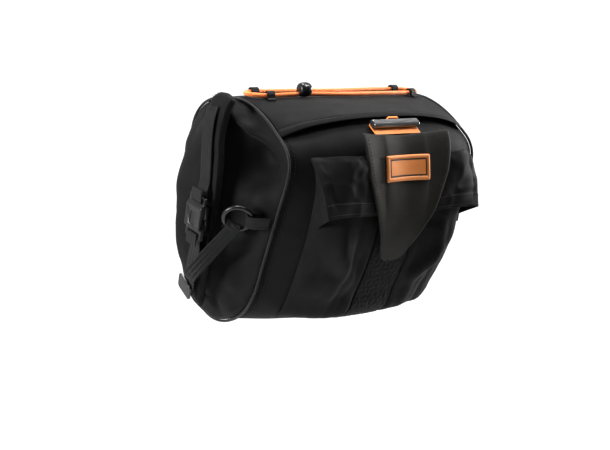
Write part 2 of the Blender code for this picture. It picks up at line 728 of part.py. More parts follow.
def build_roll_straps(side, suffix, web, frame, half, thin):
    """The strap from each ear, folded round its bar of the buckle."""
    centre, along, outward = frame
    above = WEB_THICK / 2 + GAP
    turn = thin + above
    mid_slot = half - BUCKLE_BAR - BUCKLE_SLOT / 2
    bar_end = half + above
    for name, sign, start, stop in (("upper", -1, 0.10, 0.42), ("lower", 1, 0.97, 0.72)):
        path = [roll_outside(side, start + (stop - start) * k / 5, above) for k in range(6)]
        ahead = along * sign
        turns = ((bar_end, -turn, outward), (mid_slot + STRAP_BEND, -turn, outward * 2 + ahead),
                 (mid_slot, -turn * 0.5, outward + ahead * 2),
                 (mid_slot, turn * 0.5, ahead * 2 - outward),
                 (mid_slot + STRAP_BEND, turn, ahead - outward * 2),
                 (bar_end + STRAP_TAIL, turn, -outward))
        path += [(centre + ahead * reach + outward * height, face) for reach, height, face in turns]
        profile = rectangle(WEB_WIDTH, WEB_THICK)
        add_sweep("roll_strap_" + name + "_" + suffix, ribbon_frames(path), profile, web)


def ring_loop(hook, pull, face):
    """A strap's half turn round the ring's wire at a hook point, coming along pull."""
    wrap = RING_WIRE / 2 + 2 * GAP + WEB_THICK / 2
    radius = (RING_INNER + RING_WIRE) / 2
    slack = radius - math.sqrt(radius ** 2 - (RING_WEB_WIDTH / 2) ** 2) + 3 * GAP
    turns = [(math.cos(a), math.sin(a)) for a in (0.0, 0.8, 1.57, 2.35, 3.14)]
    far = hook + pull * slack
    path = [(hook - pull * wrap + face * wrap, face)]
    path += [(far + face * (wrap * c) + pull * (wrap * s), face * c + pull * s) for c, s in turns]
    end = hook - face * wrap - pull * 0.007
    return path + [(end, -face)]


def build_ring_set(side, suffix, web, plastic):
    """The ring that tensions an end, its tab on the seam and the strap behind it."""
    reach, depth, height = RING_PLACE
    centre = place(side * (HALF_SEAM + reach * END_REACH), depth, height)
    seam = end_point(side, 0.06, ROW["upper"] + 0.42) + Vector((side * 0.004, 0, 0))
    lift = 4 * GAP + 1.5 * WEB_THICK
    rear, rear_out = roll_outside(side, 0.95, lift)
    first = (centre - seam).normalized()
    second = (rear - centre).normalized()
    face = first.cross(second).normalized()
    if face.x * side < 0:
        face = -face
    radius = (RING_INNER + RING_WIRE) / 2
    frames = []
    turns = 16
    third = face.cross(first)
    for k in range(turns):
        angle = 2 * math.pi * k / turns
        spoke = first * math.cos(angle) + third * math.sin(angle)
        frames.append((centre + spoke * radius, spoke, face))
    wire = [(RING_WIRE / 2 * math.cos(math.pi * j / 3), RING_WIRE / 2 * math.sin(math.pi * j / 3))
            for j in range(6)]
    add_sweep("ring_" + suffix, frames, wire, plastic, closed=True)
    profile = rectangle(RING_WEB_WIDTH, WEB_THICK)
    path = [(seam, face)] + ring_loop(centre - first * radius, first, face)
    add_sweep("ring_tab_" + suffix, ribbon_frames(path), profile, web)
    path = [(rear, rear_out), roll_outside(side, 0.885, lift, ROLL_WIDTH * 0.19)]
    corner, outward = roll_outside(side, 0.815, lift + RING_STRAP_RISE, ROLL_WIDTH * 0.38)
    path.append((corner, (outward * 2 + mouth_frame(side, 0.815)[1]).normalized()))
    path += ring_loop(centre + second * radius, -second, face)
    add_sweep("ring_strap_" + suffix, ribbon_frames(path), profile, web)
    clip_centre, forward, outward, down = mouth_frame(side, 0.93)
    clip_centre = clip_centre + outward * (SHEET_GAP + ROLL_THICK + lift + WEB_THICK / 2 + 2 * GAP)
    outline = rounded_rectangle(CLIP_LENGTH, CLIP_WIDTH, 0.003)
    axes = (clip_centre, down, forward, outward)
    clip = add_prism("strap_clip_" + suffix, outline, 0.0, CLIP_THICK, axes, plastic)
    bevel(clip, 0.0006, 1)


def cord_points():
    """The shock cord's line over the top, read from a smooth curve through its route."""
    knots = []
    for _, x_share, row in CORD_ROUTE:
        lift = TOP_THICK + CORD_DIAMETER / 2 + 2 * SHEET_GAP
        point = on_barrel(x_share * HALF_SEAM, row, lift)
        knots.append(np.array(point))
    count = 60
    return [Vector(spline_at(knots, (len(knots) - 1) * k / count, closed=False)) for k in range(count + 1)]


def cord_frame(points, x_share, row):
    """Centre, sideways, upward and lengthwise directions of the cord nearest a place."""
    target = on_barrel(x_share * HALF_SEAM, row, TOP_THICK)
    nearest = min(range(1, len(points) - 1), key=lambda k: (points[k] - target).length)
    along = (points[nearest + 1] - points[nearest - 1]).normalized()
    outward = barrel_normal(x_share * HALF_SEAM, row)
    upward = (outward - along * outward.dot(along)).normalized()
    return points[nearest], upward.cross(along).normalized(), upward, along


def build_cord_set(cord_material, web, plastic):
    """The shock cord, the loops that hold it and the lock that joins its ends."""
    points = cord_points()
    add_tube("shock_cord", points, CORD_DIAMETER, cord_material)
    places = {name: (x_share, row) for name, x_share, row in CORD_ROUTE}
    inner = CORD_DIAMETER / 2 + CORD_CLEARANCE
    rim = inner + ANCHOR_THICK
    floor = -(CORD_DIAMETER / 2 + SHEET_GAP - GAP)
    arch = (0.3, 0.9, 1.57, 2.24, 2.84)
    for name in CORD_LOOPS:
        frame = cord_frame(points, *places[name])
        outline = [(-ANCHOR_REACH, floor), (-ANCHOR_REACH, floor + ANCHOR_THICK / 2)]
        outline += [(-rim, floor + ANCHOR_THICK)]
        outline += [(-rim * math.cos(a), rim * math.sin(a)) for a in arch]
        outline += [(rim, floor + ANCHOR_THICK), (ANCHOR_REACH, floor + ANCHOR_THICK / 2)]
        outline += [(ANCHOR_REACH, floor), (inner, floor)]
        outline += [(inner * math.cos(a), inner * math.sin(a)) for a in arch]
        outline += [(-inner, floor)]
        add_prism("cord_loop_" + name, outline, -ANCHOR_WIDTH / 2, ANCHOR_WIDTH / 2, frame, web)
    along = (points[-1] - points[0]).normalized()
    middle = (points[0] + points[-1]) / 2
    outward = barrel_normal(middle.x, places["lock_left"][1])
    upward = (outward - along * outward.dot(along)).normalized()
    spread = upward.cross(along)
    radius = CORD_LOCK_DIAMETER / 2
    rise = radius - CORD_DIAMETER / 2 - SHEET_GAP + GAP
    length = (points[-1] - points[0]).length - 5 * GAP
    turns = [math.pi * (k + 0.5) / 5 for k in range(10)]
    profile = [(radius * math.cos(a), radius * math.sin(a)) for a in turns]
    frames = []
    for share, size in ((-0.5, 0.72), (-0.4, 0.9), (-0.15, 1.0), (0.15, 1.0), (0.4, 0.9), (0.5, 0.72)):
        centre = middle + upward * rise + along * (length * share)
        frames.append((centre, spread * size, upward * size))
    add_sweep("cord_lock", frames, profile, plastic)


def build_back(panel_material, spacer_material, web):
    """The stiff back panel, the spacers and the straps round the bar."""
    top, foot = ROW["back_3"] + 0.45, ROW["back_1"]
    panel_top = barrel_point(0.0, top).z
    panel_foot = barrel_point(0.0, foot).z
    face_y = BACK_Y + SHEET_GAP
    centre = Vector((0, face_y, (panel_top + panel_foot) / 2))
    frame = (centre, Vector((1, 0, 0)), Vector((0, 0, 1)), Vector((0, 1, 0)))
    outline = rounded_rectangle(BACK_PANEL_LENGTH, panel_top - panel_foot, 0.012)
    add_prism("back_panel", outline, 0.0, BACK_PANEL_THICK, frame, panel_material)
    seat_y = face_y + BACK_PANEL_THICK + GAP
    slot_y = (seat_y - BAR_RADIUS - GAP) / 2
    for side, suffix in ((-1, "left"), (1, "right")):
        x = side * BAR_STRAP_APART / 2
        build_spacer(x, suffix, seat_y, slot_y, spacer_material)
        build_bar_strap(x, suffix, slot_y, web)


def build_spacer(x, suffix, seat_y, slot_y, material):
    """A block between back panel and bar, hollowed to the bar and slotted for its strap."""
    high = SPACER_HEIGHT / 2
    radius = BAR_RADIUS + GAP
    half_y = BAR_STRAP_THICK / 2 + SLOT_CLEARANCE
    half_x = BAR_STRAP_WIDTH / 2 + SLOT_CLEARANCE
    opening = math.radians(48)
    arc = [(-radius * math.cos(a), radius * math.sin(a)) for a in np.linspace(opening, -opening, 9)]
    brow = slot_y + half_y + 0.002
    outline = [(seat_y, -high), (seat_y, high), (brow, high)] + arc + [(brow, -high)]
    frame = (Vector((x, 0, 0)), Vector((0, 1, 0)), Vector((0, 0, 1)), Vector((1, 0, 0)))
    block = add_prism("spacer_" + suffix, outline, -SPACER_WIDTH / 2, SPACER_WIDTH / 2, frame, material)
    slot = [(slot_y - half_y, -2 * high), (slot_y + half_y, -2 * high),
            (slot_y + half_y, 2 * high), (slot_y - half_y, 2 * high)]
    cut(block, add_prism("spacer_slot_" + suffix, slot, -half_x, half_x, frame, material))


def build_bar_strap(x, suffix, slot_y, material):
    """A strap looped round the bar and through its spacer."""
    radius = BAR_RADIUS + GAP + BAR_STRAP_THICK / 2
    bend = 0.004
    high = SPACER_HEIGHT / 2 + bend + GAP
    path = []
    for sign in (-1, 1):
        corner = [(slot_y + bend * (1 - math.sin(a)), high - bend * (1 - math.cos(a)))
                  for a in np.linspace(math.pi / 2, 0.0, 4)]
        line = [(y, sign * z) for y, z in corner]
        path += line[::-1] if sign < 0 else line
        if sign > 0:
            arc = np.linspace(0.35, math.pi - 0.35, 11)
            path += [(radius * math.sin(a), radius * math.cos(a)) for a in arc]
    frames = []
    for k, (y, z) in enumerate(path):
        before, after = path[k - 1], path[(k + 1) % len(path)]
        along = Vector((0, after[0] - before[0], after[1] - before[1])).normalized()
        side = Vector((1, 0, 0))
        frames.append((Vector((x, y, z)), side, along.cross(side)))
    profile = rectangle(BAR_STRAP_WIDTH, BAR_STRAP_THICK)
    add_sweep("bar_strap_" + suffix, frames, profile, material, closed=True)


def build_bag():
    clear_scene()
    cloth = make_material("pack_cloth", (0.018, 0.018, 0.020), 0.80)
    tongue_skin = make_material("tongue_skin", (0.030, 0.029, 0.028), 0.55)
    loop_tape = make_material("loop_tape", (0.010, 0.010, 0.010), 0.95)
    piping = make_material("piping", (0.16, 0.16, 0.17), 0.60)
    web = make_material("webbing", (0.012, 0.012, 0.013), 0.75)
    plastic = make_material("black_plastic", (0.014, 0.014, 0.015), 0.42)
    gloss = make_material("gloss_plastic", (0.010, 0.010, 0.011), 0.12)
    orange_rubber = make_material("orange_rubber", (0.82, 0.20, 0.03), 0.50)
    orange_cord = make_material("orange_cord", (0.90, 0.22, 0.03), 0.60)
    foam = make_material("spacer_foam", (0.020, 0.020, 0.021), 0.85)

    build_shell(cloth)
    build_top_panel(cloth)
    build_tongue(tongue_skin)
    build_loop_strip(loop_tape)
    build_patch(orange_rubber)
    build_clasp(gloss, orange_rubber)
    for side, suffix in ((-1, "left"), (1, "right")):
        build_piping(side, suffix, piping)
        build_pouch(side, suffix, cloth)
        build_cuff(side, suffix, cloth)
        build_roll(side, suffix, cloth)
        build_roll_buckle(side, suffix, web, plastic)
        build_ring_set(side, suffix, web, plastic)
    build_cord_set(orange_cord, web, plastic)
    build_back(cloth, foam, web)


build_bag()
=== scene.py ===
"""Looks of the bicycle handlebar bag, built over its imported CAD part.

Soft pieces are dense sheets on the same section tables as the solids, creased and hemmed in code.
Metres, +Z up, the front faces -Y, and the origin lies on the handlebar's axis.
"""
from math import cos, pi, radians, sin, sqrt

import bmesh
import bpy
import numpy as np
from mathutils import Matrix, Vector


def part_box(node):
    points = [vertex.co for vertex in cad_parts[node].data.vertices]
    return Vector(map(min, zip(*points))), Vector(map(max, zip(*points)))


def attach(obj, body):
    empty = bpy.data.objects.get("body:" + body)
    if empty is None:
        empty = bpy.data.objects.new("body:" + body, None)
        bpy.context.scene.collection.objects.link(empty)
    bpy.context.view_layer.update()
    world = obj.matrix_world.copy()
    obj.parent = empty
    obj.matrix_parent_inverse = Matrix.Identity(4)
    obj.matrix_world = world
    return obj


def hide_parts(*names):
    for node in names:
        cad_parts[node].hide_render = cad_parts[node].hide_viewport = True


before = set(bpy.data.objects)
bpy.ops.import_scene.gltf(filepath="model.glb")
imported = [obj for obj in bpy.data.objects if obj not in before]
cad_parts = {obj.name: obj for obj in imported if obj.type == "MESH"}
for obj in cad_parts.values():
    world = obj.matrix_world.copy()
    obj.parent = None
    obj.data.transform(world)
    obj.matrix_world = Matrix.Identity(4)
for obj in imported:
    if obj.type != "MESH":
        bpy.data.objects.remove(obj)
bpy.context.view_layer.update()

# Sizes shared with the solids
SEAM_LENGTH, BAG_DEPTH, BAG_HEIGHT, END_REACH, CROWN_POWER = 0.254, 0.185, 0.245, 0.034, 2.5
HALF_SEAM = SEAM_LENGTH / 2
BACK_Y, BASE_Z = -0.032, 0.036 - BAG_HEIGHT
WALL, GAP, SHEET_GAP = 0.0018, 0.0003, 0.0009
BAR_RADIUS, BAR_STRAP_APART, BAR_STRAP_WIDTH, BAR_STRAP_THICK = 0.0159, 0.110, 0.025, 0.002
SPACER_WIDTH, SPACER_HEIGHT, BACK_PANEL_THICK = 0.036, 0.044, 0.003
MOUTH_WIDTH, ROLL_WIDTH, ROLL_THICK, EAR_LENGTH, LIP_HEIGHT = 0.0075, 0.034, 0.014, 0.007, 0.0075
RIGHT_EAR_DROP, PIPING_DIAMETER = 0.037, 0.0032
WEB_WIDTH, WEB_THICK, RING_WEB_WIDTH = 0.020, 0.0016, 0.016
BUCKLE_LENGTH, BUCKLE_WIDTH, BUCKLE_THICK, BUCKLE_AT, BUCKLE_LIFT = 0.046, 0.029, 0.010, 0.57, 0.0075
BUCKLE_BAR, BUCKLE_SLOT, PRONG_THICK = 0.0035, 0.0036, 0.0036
RING_INNER, RING_WIRE, CLIP_LENGTH = 0.0255, 0.0045, 0.020
POUCH_INNER_X, POUCH_OUTER_X, POUCH_STAND, POUCH_WALL = 0.028, 0.098, 0.014, 0.0016
GATHER_DEPTH, GATHER_COUNT = 0.0026, 4.5
CUFF_INNER_X, CUFF_OUTER_X, CUFF_FLARE, CUFF_INNER_STAND, CUFF_THICK = 0.030, 0.108, 0.036, 0.006, 0.0020
TONGUE_TOP_WIDTH, TONGUE_STAND, TONGUE_THICK = 0.118, 0.008, 0.0022
LOOP_STRIP_WIDTH, LOOP_STRIP_THICK = 0.050, 0.0016
PATCH_LENGTH, PATCH_HEIGHT, PATCH_THICK = 0.058, 0.0245, 0.0018
CLASP_LENGTH, CLASP_HEIGHT, CLASP_DEPTH = 0.062, 0.010, 0.007
CLASP_PLATE_HEIGHT, CLASP_PLATE_THICK, TAB_WIDTH, TAB_THICK = 0.017, 0.0016, 0.015, 0.0024
TOP_THICK, TOP_LIP_LIFT, CORD_DIAMETER = 0.0030, 0.0045, 0.005
ANCHOR_WIDTH, ANCHOR_THICK, CORD_LOCK_DIAMETER, CORD_CLEARANCE = 0.009, 0.0016, 0.016, 0.0010

# End seam (depth, height), middle (depth, height) and fullness, from the top down the front
SECTION = np.array((
    (0.368, 0.996, 0.368, 1.000, 0.2), (0.541, 0.988, 0.595, 0.992, 0.0), (0.681, 0.955, 0.789, 0.967, -0.2),
    (0.800, 0.906, 0.930, 0.935, -0.4), (0.892, 0.853, 1.027, 0.898, -0.5), (0.973, 0.796, 1.108, 0.849, -0.4),
    (1.000, 0.731, 1.141, 0.780, -0.2), (0.968, 0.649, 1.146, 0.682, 0.0), (0.897, 0.535, 1.135, 0.551, 0.1),
    (0.822, 0.412, 1.092, 0.412, 0.3), (0.746, 0.294, 1.011, 0.282, 0.6), (0.676, 0.184, 0.914, 0.159, 0.9),
    (0.578, 0.090, 0.816, 0.047, 1.0), (0.443, 0.029, 0.584, 0.002, 1.0), (0.270, 0.004, 0.281, 0.000, 1.1),
    (0.119, 0.037, 0.119, 0.033, 1.3), (0.027, 0.131, 0.022, 0.127, 1.5), (0.000, 0.294, 0.000, 0.294, 1.6),
    (0.000, 0.498, 0.000, 0.498, 1.6), (0.000, 0.702, 0.000, 0.702, 1.2), (0.032, 0.878, 0.027, 0.878, 0.6),
    (0.162, 0.971, 0.162, 0.976, 0.2)))
ROWS, BASE_ROW = len(SECTION), 14
MOUTH_LINE = np.array(((0.55, 0.565, 1.000), (0.82, 0.560, 0.878), (0.95, 0.560, 0.673),
                       (1.00, 0.520, 0.478), (0.97, 0.420, 0.306), (0.70, 0.290, 0.151)))
# Row, spread and depth at the left and right end of the drawn folds that the solids have too
END_FOLDS = ((5.4, 1.6, 0.34, 0.20), (8.9, 0.9, 0.10, 0.10), (10.6, 0.8, 0.16, 0.10),
             (17.4, 1.9, -0.52, -0.42))
# Drawn folds of the cloth alone: lean, row, spread, depth and the share where each begins and ends
EAR_FOLDS = ((-3.4, 4.2, 0.85, -0.0125, 0.02, 1.00), (-1.3, 5.7, 1.35, 0.0180, 0.04, 0.98),
             (-1.8, 8.3, 0.55, -0.0065, 0.00, 0.85), (1.5, 8.9, 0.45, 0.0045, 0.15, 0.95),
             (0.8, 11.6, 0.55, 0.0030, 0.20, 0.98), (-0.6, 12.9, 0.50, -0.0028, 0.10, 0.90),
             (0.9, 16.0, 0.60, 0.0035, 0.10, 0.95), (-0.8, 19.3, 0.70, -0.0040, 0.05, 0.95))
POUCH_TOP = 10 * ROWS / 36
POUCH_FOOT = POUCH_TOP + 10 * ROWS / 36
POUCH_RIM_ROW = 8.55
CUFF_TOP_OUTER, CUFF_TOP_INNER, CUFF_HEM_OUTER, CUFF_HEM_INNER = 5.85, 6.35, 7.85, 8.25
RING_PLACE = (0.98, 0.765, 0.508)
TONGUE_LINE = np.array(((5.22, 1.00, 0.30, 1.45), (6.00, 0.98, 0.45, 1.90), (6.90, 0.92, 0.55, 2.00),
                        (7.55, 0.80, 0.75, 1.85), (8.20, 0.66, 0.90, 1.70), (8.80, 0.48, 0.75, 1.10),
                        (9.40, 0.32, 0.48, 0.55), (9.78, 0.22, 0.38, 0.38)))
CORD_ROUTE = ((-0.50, 1.16), (-0.64, 1.20), (-0.78, 1.22), (-0.885, 1.08), (-0.92, 0.80), (-0.885, 0.52),
              (-0.78, 0.38), (-0.40, 0.46), (0.00, 0.60), (0.40, 0.46), (0.78, 0.38), (0.885, 0.52),
              (0.92, 0.80), (0.885, 1.08), (0.78, 1.22), (0.40, 1.30), (0.00, 1.32), (-0.25, 1.22),
              (-0.38, 1.16))
CORD_LOOPS = {"front_left": (-0.78, 1.22), "front_right": (0.78, 1.22),
              "back_left": (-0.78, 0.38), "back_right": (0.78, 0.38)}
SIDES = ((-1, "left"), (1, "right"))

# Places as section rows, and lesser measures of single pieces
TOP_BACK_ROW, TOP_LIP_ROW, TOP_FRONT_ROW, TOP_BOW_ROWS, TOP_STITCH_SHARE = -0.9, 2.2, 3.88, 0.30, 0.915
CLASP_ROW, PATCH_ROW, STRIP_ROWS, PANEL_ROWS = 4.62, 6.72, (8.5, 13.4), (19.45, 17.0)
PIPING_FLANGE, SLANT_FOLD_STAND, CUFF_HEM_SHARE = 0.0058, 0.0065, 0.80
PATCH_INSET, LOOP_FOOT, SPACER_HUG = 0.0042, 0.009, 48
# Half of the cord lock: share of its length from the middle, and share of its radius
LOCK_SHAPE = ((0.5, 0.60), (0.48, 0.70), (0.42, 0.84), (0.30, 0.94), (0.12, 0.985), (0.03, 0.985),
              (0.02, 0.93))

# The photograph's camera and the studio
SENSOR, FOCAL_PIXELS, PICTURE_WIDTH, CAMERA_PLACE = 36.0, 1261.0, 610, (-0.87864, -1.24116, 0.07788)
CAMERA_AXES = ((0.79863551, -0.60181502, 0.0), (0.07855262, 0.10424285, 0.99144486),
               (-0.59666641, -0.79180307, 0.13052619))
FLOOR_RADIUS, FLOOR_Z, LIGHT_TARGET = 2.4, -1.5, (0, -0.11, -0.09)
LIGHTS = (("key", (0.9, -1.0, 1.9), 0.6, 62), ("side", (-2.1, 0.0, 0.35), 0.7, 80),
          ("top", (0.0, 0.1, 1.9), 0.6, 44), ("right", (2.0, -0.5, 0.3), 0.6, 50))


# Vectorised curves and sections: arrays of points, shape (..., 3)

def spline(points, t, closed=False):
    """A smooth curve through points at parameters t, which count points."""
    points, t = np.asarray(points, float), np.asarray(t, float)
    count = len(points)
    i = np.floor(t).astype(int)
    if not closed:
        i = np.clip(i, 0, count - 2)
    f = (t - i)[..., None]
    picks = [i - 1, i, i + 1, i + 2]
    picks = [k % count if closed else np.clip(k, 0, count - 1) for k in picks]
    p0, p1, p2, p3 = (points[k] for k in picks)
    curve = 0.5 * (2 * p1 + (p2 - p0) * f + (2 * p0 - 5 * p1 + 4 * p2 - p3) * f * f
                   + (3 * p1 - p0 - 3 * p2 + p3) * f ** 3)
    if closed:
        return curve
    before, after = (t < 0)[..., None], (t > count - 1)[..., None]
    curve = np.where(before, points[0] + (points[1] - points[0]) * t[..., None], curve)
    return np.where(after, points[-1] + (points[-1] - points[-2]) * (t - count + 1)[..., None], curve)


def clamp(values):
    return np.clip(values, 0, 1)


def bell(x, middle, width):
    return np.exp(-((x - middle) / width) ** 2)


def arch(share):
    """From 0 at 0 up to 1 at a half, and back to 0 at 1."""
    return np.sin(pi * clamp(share))


def steps(points, axis=0):
    """The distances between neighbours along a line, or along one axis of a grid."""
    return np.linalg.norm(np.diff(points, axis=axis), axis=-1)


def run_of(line):
    """How far each point of a line lies along it."""
    return np.concatenate(([0], np.cumsum(steps(line))))


def mirrored(points):
    """An outline's half, then its mirror image in the first axis, back to the start."""
    return points + [(a, -b) for a, b in reversed(points)]


def between(first, last, share):
    return first + (last - first) * share


def share_of(value, first, last):
    """How far value is on its way from first to last, 0 to 1."""
    return clamp((value - first) / (last - first))


def unit(v):
    return v / np.maximum(np.linalg.norm(v, axis=-1, keepdims=True), 1e-12)


def square_to(direction, axis):
    """A direction turned until it is square to an axis."""
    return unit(direction - axis * (direction @ axis))


def loop_directions(line):
    """The directions along a line that closes on itself."""
    return unit(np.roll(line, -1, 0) - np.roll(line, 1, 0))


def placed(x, depth, height):
    x, depth, height = np.broadcast_arrays(x, depth, height)
    return np.stack((x, BACK_Y - depth * BAG_DEPTH, BASE_Z + height * BAG_HEIGHT), -1)


def barrel(x, row):
    values = spline(SECTION, row, closed=True)
    crown = 1 - np.minimum(1.0, np.abs(x) / HALF_SEAM) ** CROWN_POWER
    depth = between(values[..., 0], values[..., 2], crown)
    height = between(values[..., 1], values[..., 3], crown)
    return placed(x, depth, height)


def barrel_out(x, row):
    """The barrel's outward direction."""
    x, row = np.broadcast_arrays(np.asarray(x, float), np.asarray(row, float))
    inner = np.clip(x, -HALF_SEAM + 0.004, HALF_SEAM - 0.004)
    along = barrel(inner + 0.002, row) - barrel(inner - 0.002, row)
    down = barrel(inner, row + 0.05) - barrel(inner, row - 0.05)
    return unit(np.cross(down, along))


def on_barrel(x, row, lift):
    return barrel(x, row) + barrel_out(x, row) * np.asarray(lift)[..., None]


def off_barrel(x, row, stand):
    """Over the barrel by the sheet gap, then straight forward by stand."""
    out = barrel_out(x, row)
    forward = unit(out * (0, 1, 1))
    return barrel(x, row) + out * SHEET_GAP + forward * np.asarray(stand)[..., None]


def mouth(side, t):
    t = np.asarray(t, float)
    values = spline(MOUTH_LINE, t * (len(MOUTH_LINE) - 1))
    point = placed(side * (HALF_SEAM + values[..., 0] * END_REACH), values[..., 1], values[..., 2])
    if side > 0:
        point[..., 2] -= RIGHT_EAR_DROP * np.maximum(0.0, 1 - t) ** 2
    return point


def mouth_axes(side, t):
    """Centre, forward, outward and downward directions of a roll."""
    t = np.asarray(t, float)
    down = unit(mouth(side, t + 0.01) - mouth(side, t - 0.01))
    outward = np.broadcast_to(np.array((side, 0.0, 0.0)), down.shape)
    outward = unit(outward - down * (outward * down).sum(-1, keepdims=True))
    return mouth(side, t), np.cross(outward, down) * -side, outward, down


def end_cloth(side, share, row):
    """The end cloth, from 0 at the seam to 1 at the mouth."""
    share, row = np.broadcast_arrays(np.asarray(share, float), np.asarray(row, float))
    front = row <= BASE_ROW
    t = np.where(front, row / BASE_ROW, (ROWS - row) / (ROWS - BASE_ROW))
    centre, forward, _, _ = mouth_axes(side, t)
    half = (MOUTH_WIDTH / 2 + WALL) * (1 - np.abs(2 * t - 1) ** 8)
    lip = centre + forward * (half * np.where(front, 1, -1))[..., None]
    seam = barrel(np.full(row.shape, side * HALF_SEAM), row)
    fullness = spline(SECTION, row, closed=True)[..., 4]
    drawn = np.where(fullness > 0, share ** (1 + fullness), share ** (1 / (1 - np.minimum(fullness, 0))))
    point = between(seam, lip, drawn[..., None])
    tall = LIP_HEIGHT * (1 - clamp((share - 0.90) / 0.10))
    point[..., 0] = seam[..., 0] + (lip[..., 0] - side * tall - seam[..., 0]) * share
    for centre_row, spread, left, right in END_FOLDS:
        depth = left if side < 0 else right
        dip = bell(row, centre_row, spread) * np.sin(pi * share) ** 2
        point[..., 0] -= side * depth * END_REACH * dip
    for lean, centre_row, spread, depth, low, high in EAR_FOLDS:
        inside = share_of(share, low, high)
        near = bell(row - centre_row, lean * share, spread)
        point[..., 0] -= side * depth * near * np.sin(pi * inside) ** 1.5
    return point


def pouch_stand(x):
    share = share_of(np.abs(x), POUCH_INNER_X, POUCH_OUTER_X)
    return POUCH_STAND * np.maximum(0, np.sin(pi * share * share)) ** 0.8


def pouch_fall(row):
    down = share_of(row, POUCH_TOP, POUCH_FOOT)
    return (1 - down ** 2.4) * (1 + 0.35 * np.sin(pi * down)), down


def cuff_rows(share):
    return between(CUFF_TOP_INNER, CUFF_TOP_OUTER, share), between(CUFF_HEM_INNER, CUFF_HEM_OUTER, share)


def cuff_stand(x, row):
    share = share_of(np.abs(x), CUFF_INNER_X, CUFF_OUTER_X)
    top, hem = cuff_rows(share)
    down = share_of(row, top, hem)
    close = pouch_stand(x) * pouch_fall(row)[0] + POUCH_WALL + 2 * SHEET_GAP
    flared = between(CUFF_INNER_STAND, CUFF_FLARE, share ** 1.2)
    return between(close, np.maximum(flared, close), down ** 0.9)


def tongue_half(row):
    return np.interp(row, TONGUE_LINE[:, 0], TONGUE_LINE[:, 1]) * TONGUE_TOP_WIDTH / 2


def tongue_stand(x, row):
    middle = np.interp(row, TONGUE_LINE[:, 0], TONGUE_LINE[:, 2])
    edge = np.interp(row, TONGUE_LINE[:, 0], TONGUE_LINE[:, 3])
    stand = between(middle, edge, np.minimum(1, np.abs(x) / tongue_half(row)) ** 2.6) * TONGUE_STAND
    over = cuff_stand(np.maximum(np.abs(x), CUFF_INNER_X), row) + CUFF_THICK + 2 * SHEET_GAP
    near = clamp(np.abs(x) / (0.92 * CUFF_INNER_X)) ** 1.7
    near = near * clamp((CUFF_HEM_OUTER + 0.8 - row) / 0.8)
    return between(stand, np.maximum(stand, over), near)


# Noise

def waves(points, seed, size, count=9):
    """A smooth field from -1 to 1 whose bumps are about size metres across."""
    rng = np.random.default_rng(seed)
    total = np.zeros(points.shape[:-1])
    for _ in range(count):
        direction = unit(rng.normal(size=3))
        total += np.sin(points @ direction * (2 * pi / size) * rng.uniform(0.6, 1.5) + rng.uniform(0, 6.28))
    return total / count ** 0.5 / 1.6


def creases(points, seed, size):
    """Soft ridges, as cloth has where it buckles: 0 to 1."""
    shifted = points + size * 0.25 * np.stack([waves(points, seed + k, size * 1.7) for k in (1, 2, 3)], -1)
    ridge = 1 - np.sqrt(waves(shifted, seed, size, 4) ** 2 + 0.01) * 1.1
    return clamp(ridge) * (0.5 + 0.5 * clamp(waves(points, seed + 9, size * 2.5) + 0.5))


def crumple(points, *terms):
    """Fields added up, each given as its function, seed, size and depth."""
    return sum(field(points, seed, size) * depth for field, seed, size, depth in terms)


# Meshes

def new_object(name, mesh, material, smooth=True, angle=50):
    item = bpy.data.objects.new(name, mesh)
    item.data.materials.append(material)
    bpy.context.scene.collection.objects.link(item)
    if smooth:
        mesh.shade_smooth()
        mesh.set_sharp_from_angle(angle=radians(angle))
    return item


def mesh_object(name, points, faces, material, uvs=None, angle=50):
    """A mesh whose closed parts face outwards; uvs holds one pair per point, in metres."""
    mesh = bpy.data.meshes.new(name)
    mesh.from_pydata([tuple(map(float, p)) for p in points], [], faces)
    if uvs is not None:
        layer = mesh.uv_layers.new(name="UVMap")
        index = np.empty(len(mesh.loops), np.int32)
        mesh.loops.foreach_get("vertex_index", index)
        layer.data.foreach_set("uv", np.asarray(uvs, np.float32)[index].ravel())
    work = bmesh.new()
    work.from_mesh(mesh)
    bmesh.ops.recalc_face_normals(work, faces=work.faces)
    work.to_mesh(mesh)
    work.free()
    mesh.validate()
    return new_object(name, mesh, material, angle=angle)


def band(here, there, count):
    """Faces between two rings of count points, given by the number of each ring's first point."""
    pairs = [(j, (j + 1) % count) for j in range(count)]
    return [(here + j, here + k, there + k, there + j) for j, k in pairs]


def sheet_normals(grid, wrap=False):
    across = np.gradient(grid, axis=1)
    down = np.gradient(grid, axis=0)
    if wrap:
        down = (np.roll(grid, -1, 0) - np.roll(grid, 1, 0)) / 2
    return unit(np.cross(down, across))


def grid_uv(grid):
    """Distances along a grid's own lines, across from the middle column and down from the top."""
    across, down = np.zeros(grid.shape[:2]), np.zeros(grid.shape[:2])
    across[:, 1:], down[1:] = np.cumsum(steps(grid, 1), 1), np.cumsum(steps(grid), 0)
    return np.stack((across - across[:, across.shape[1] // 2][:, None], down), -1)


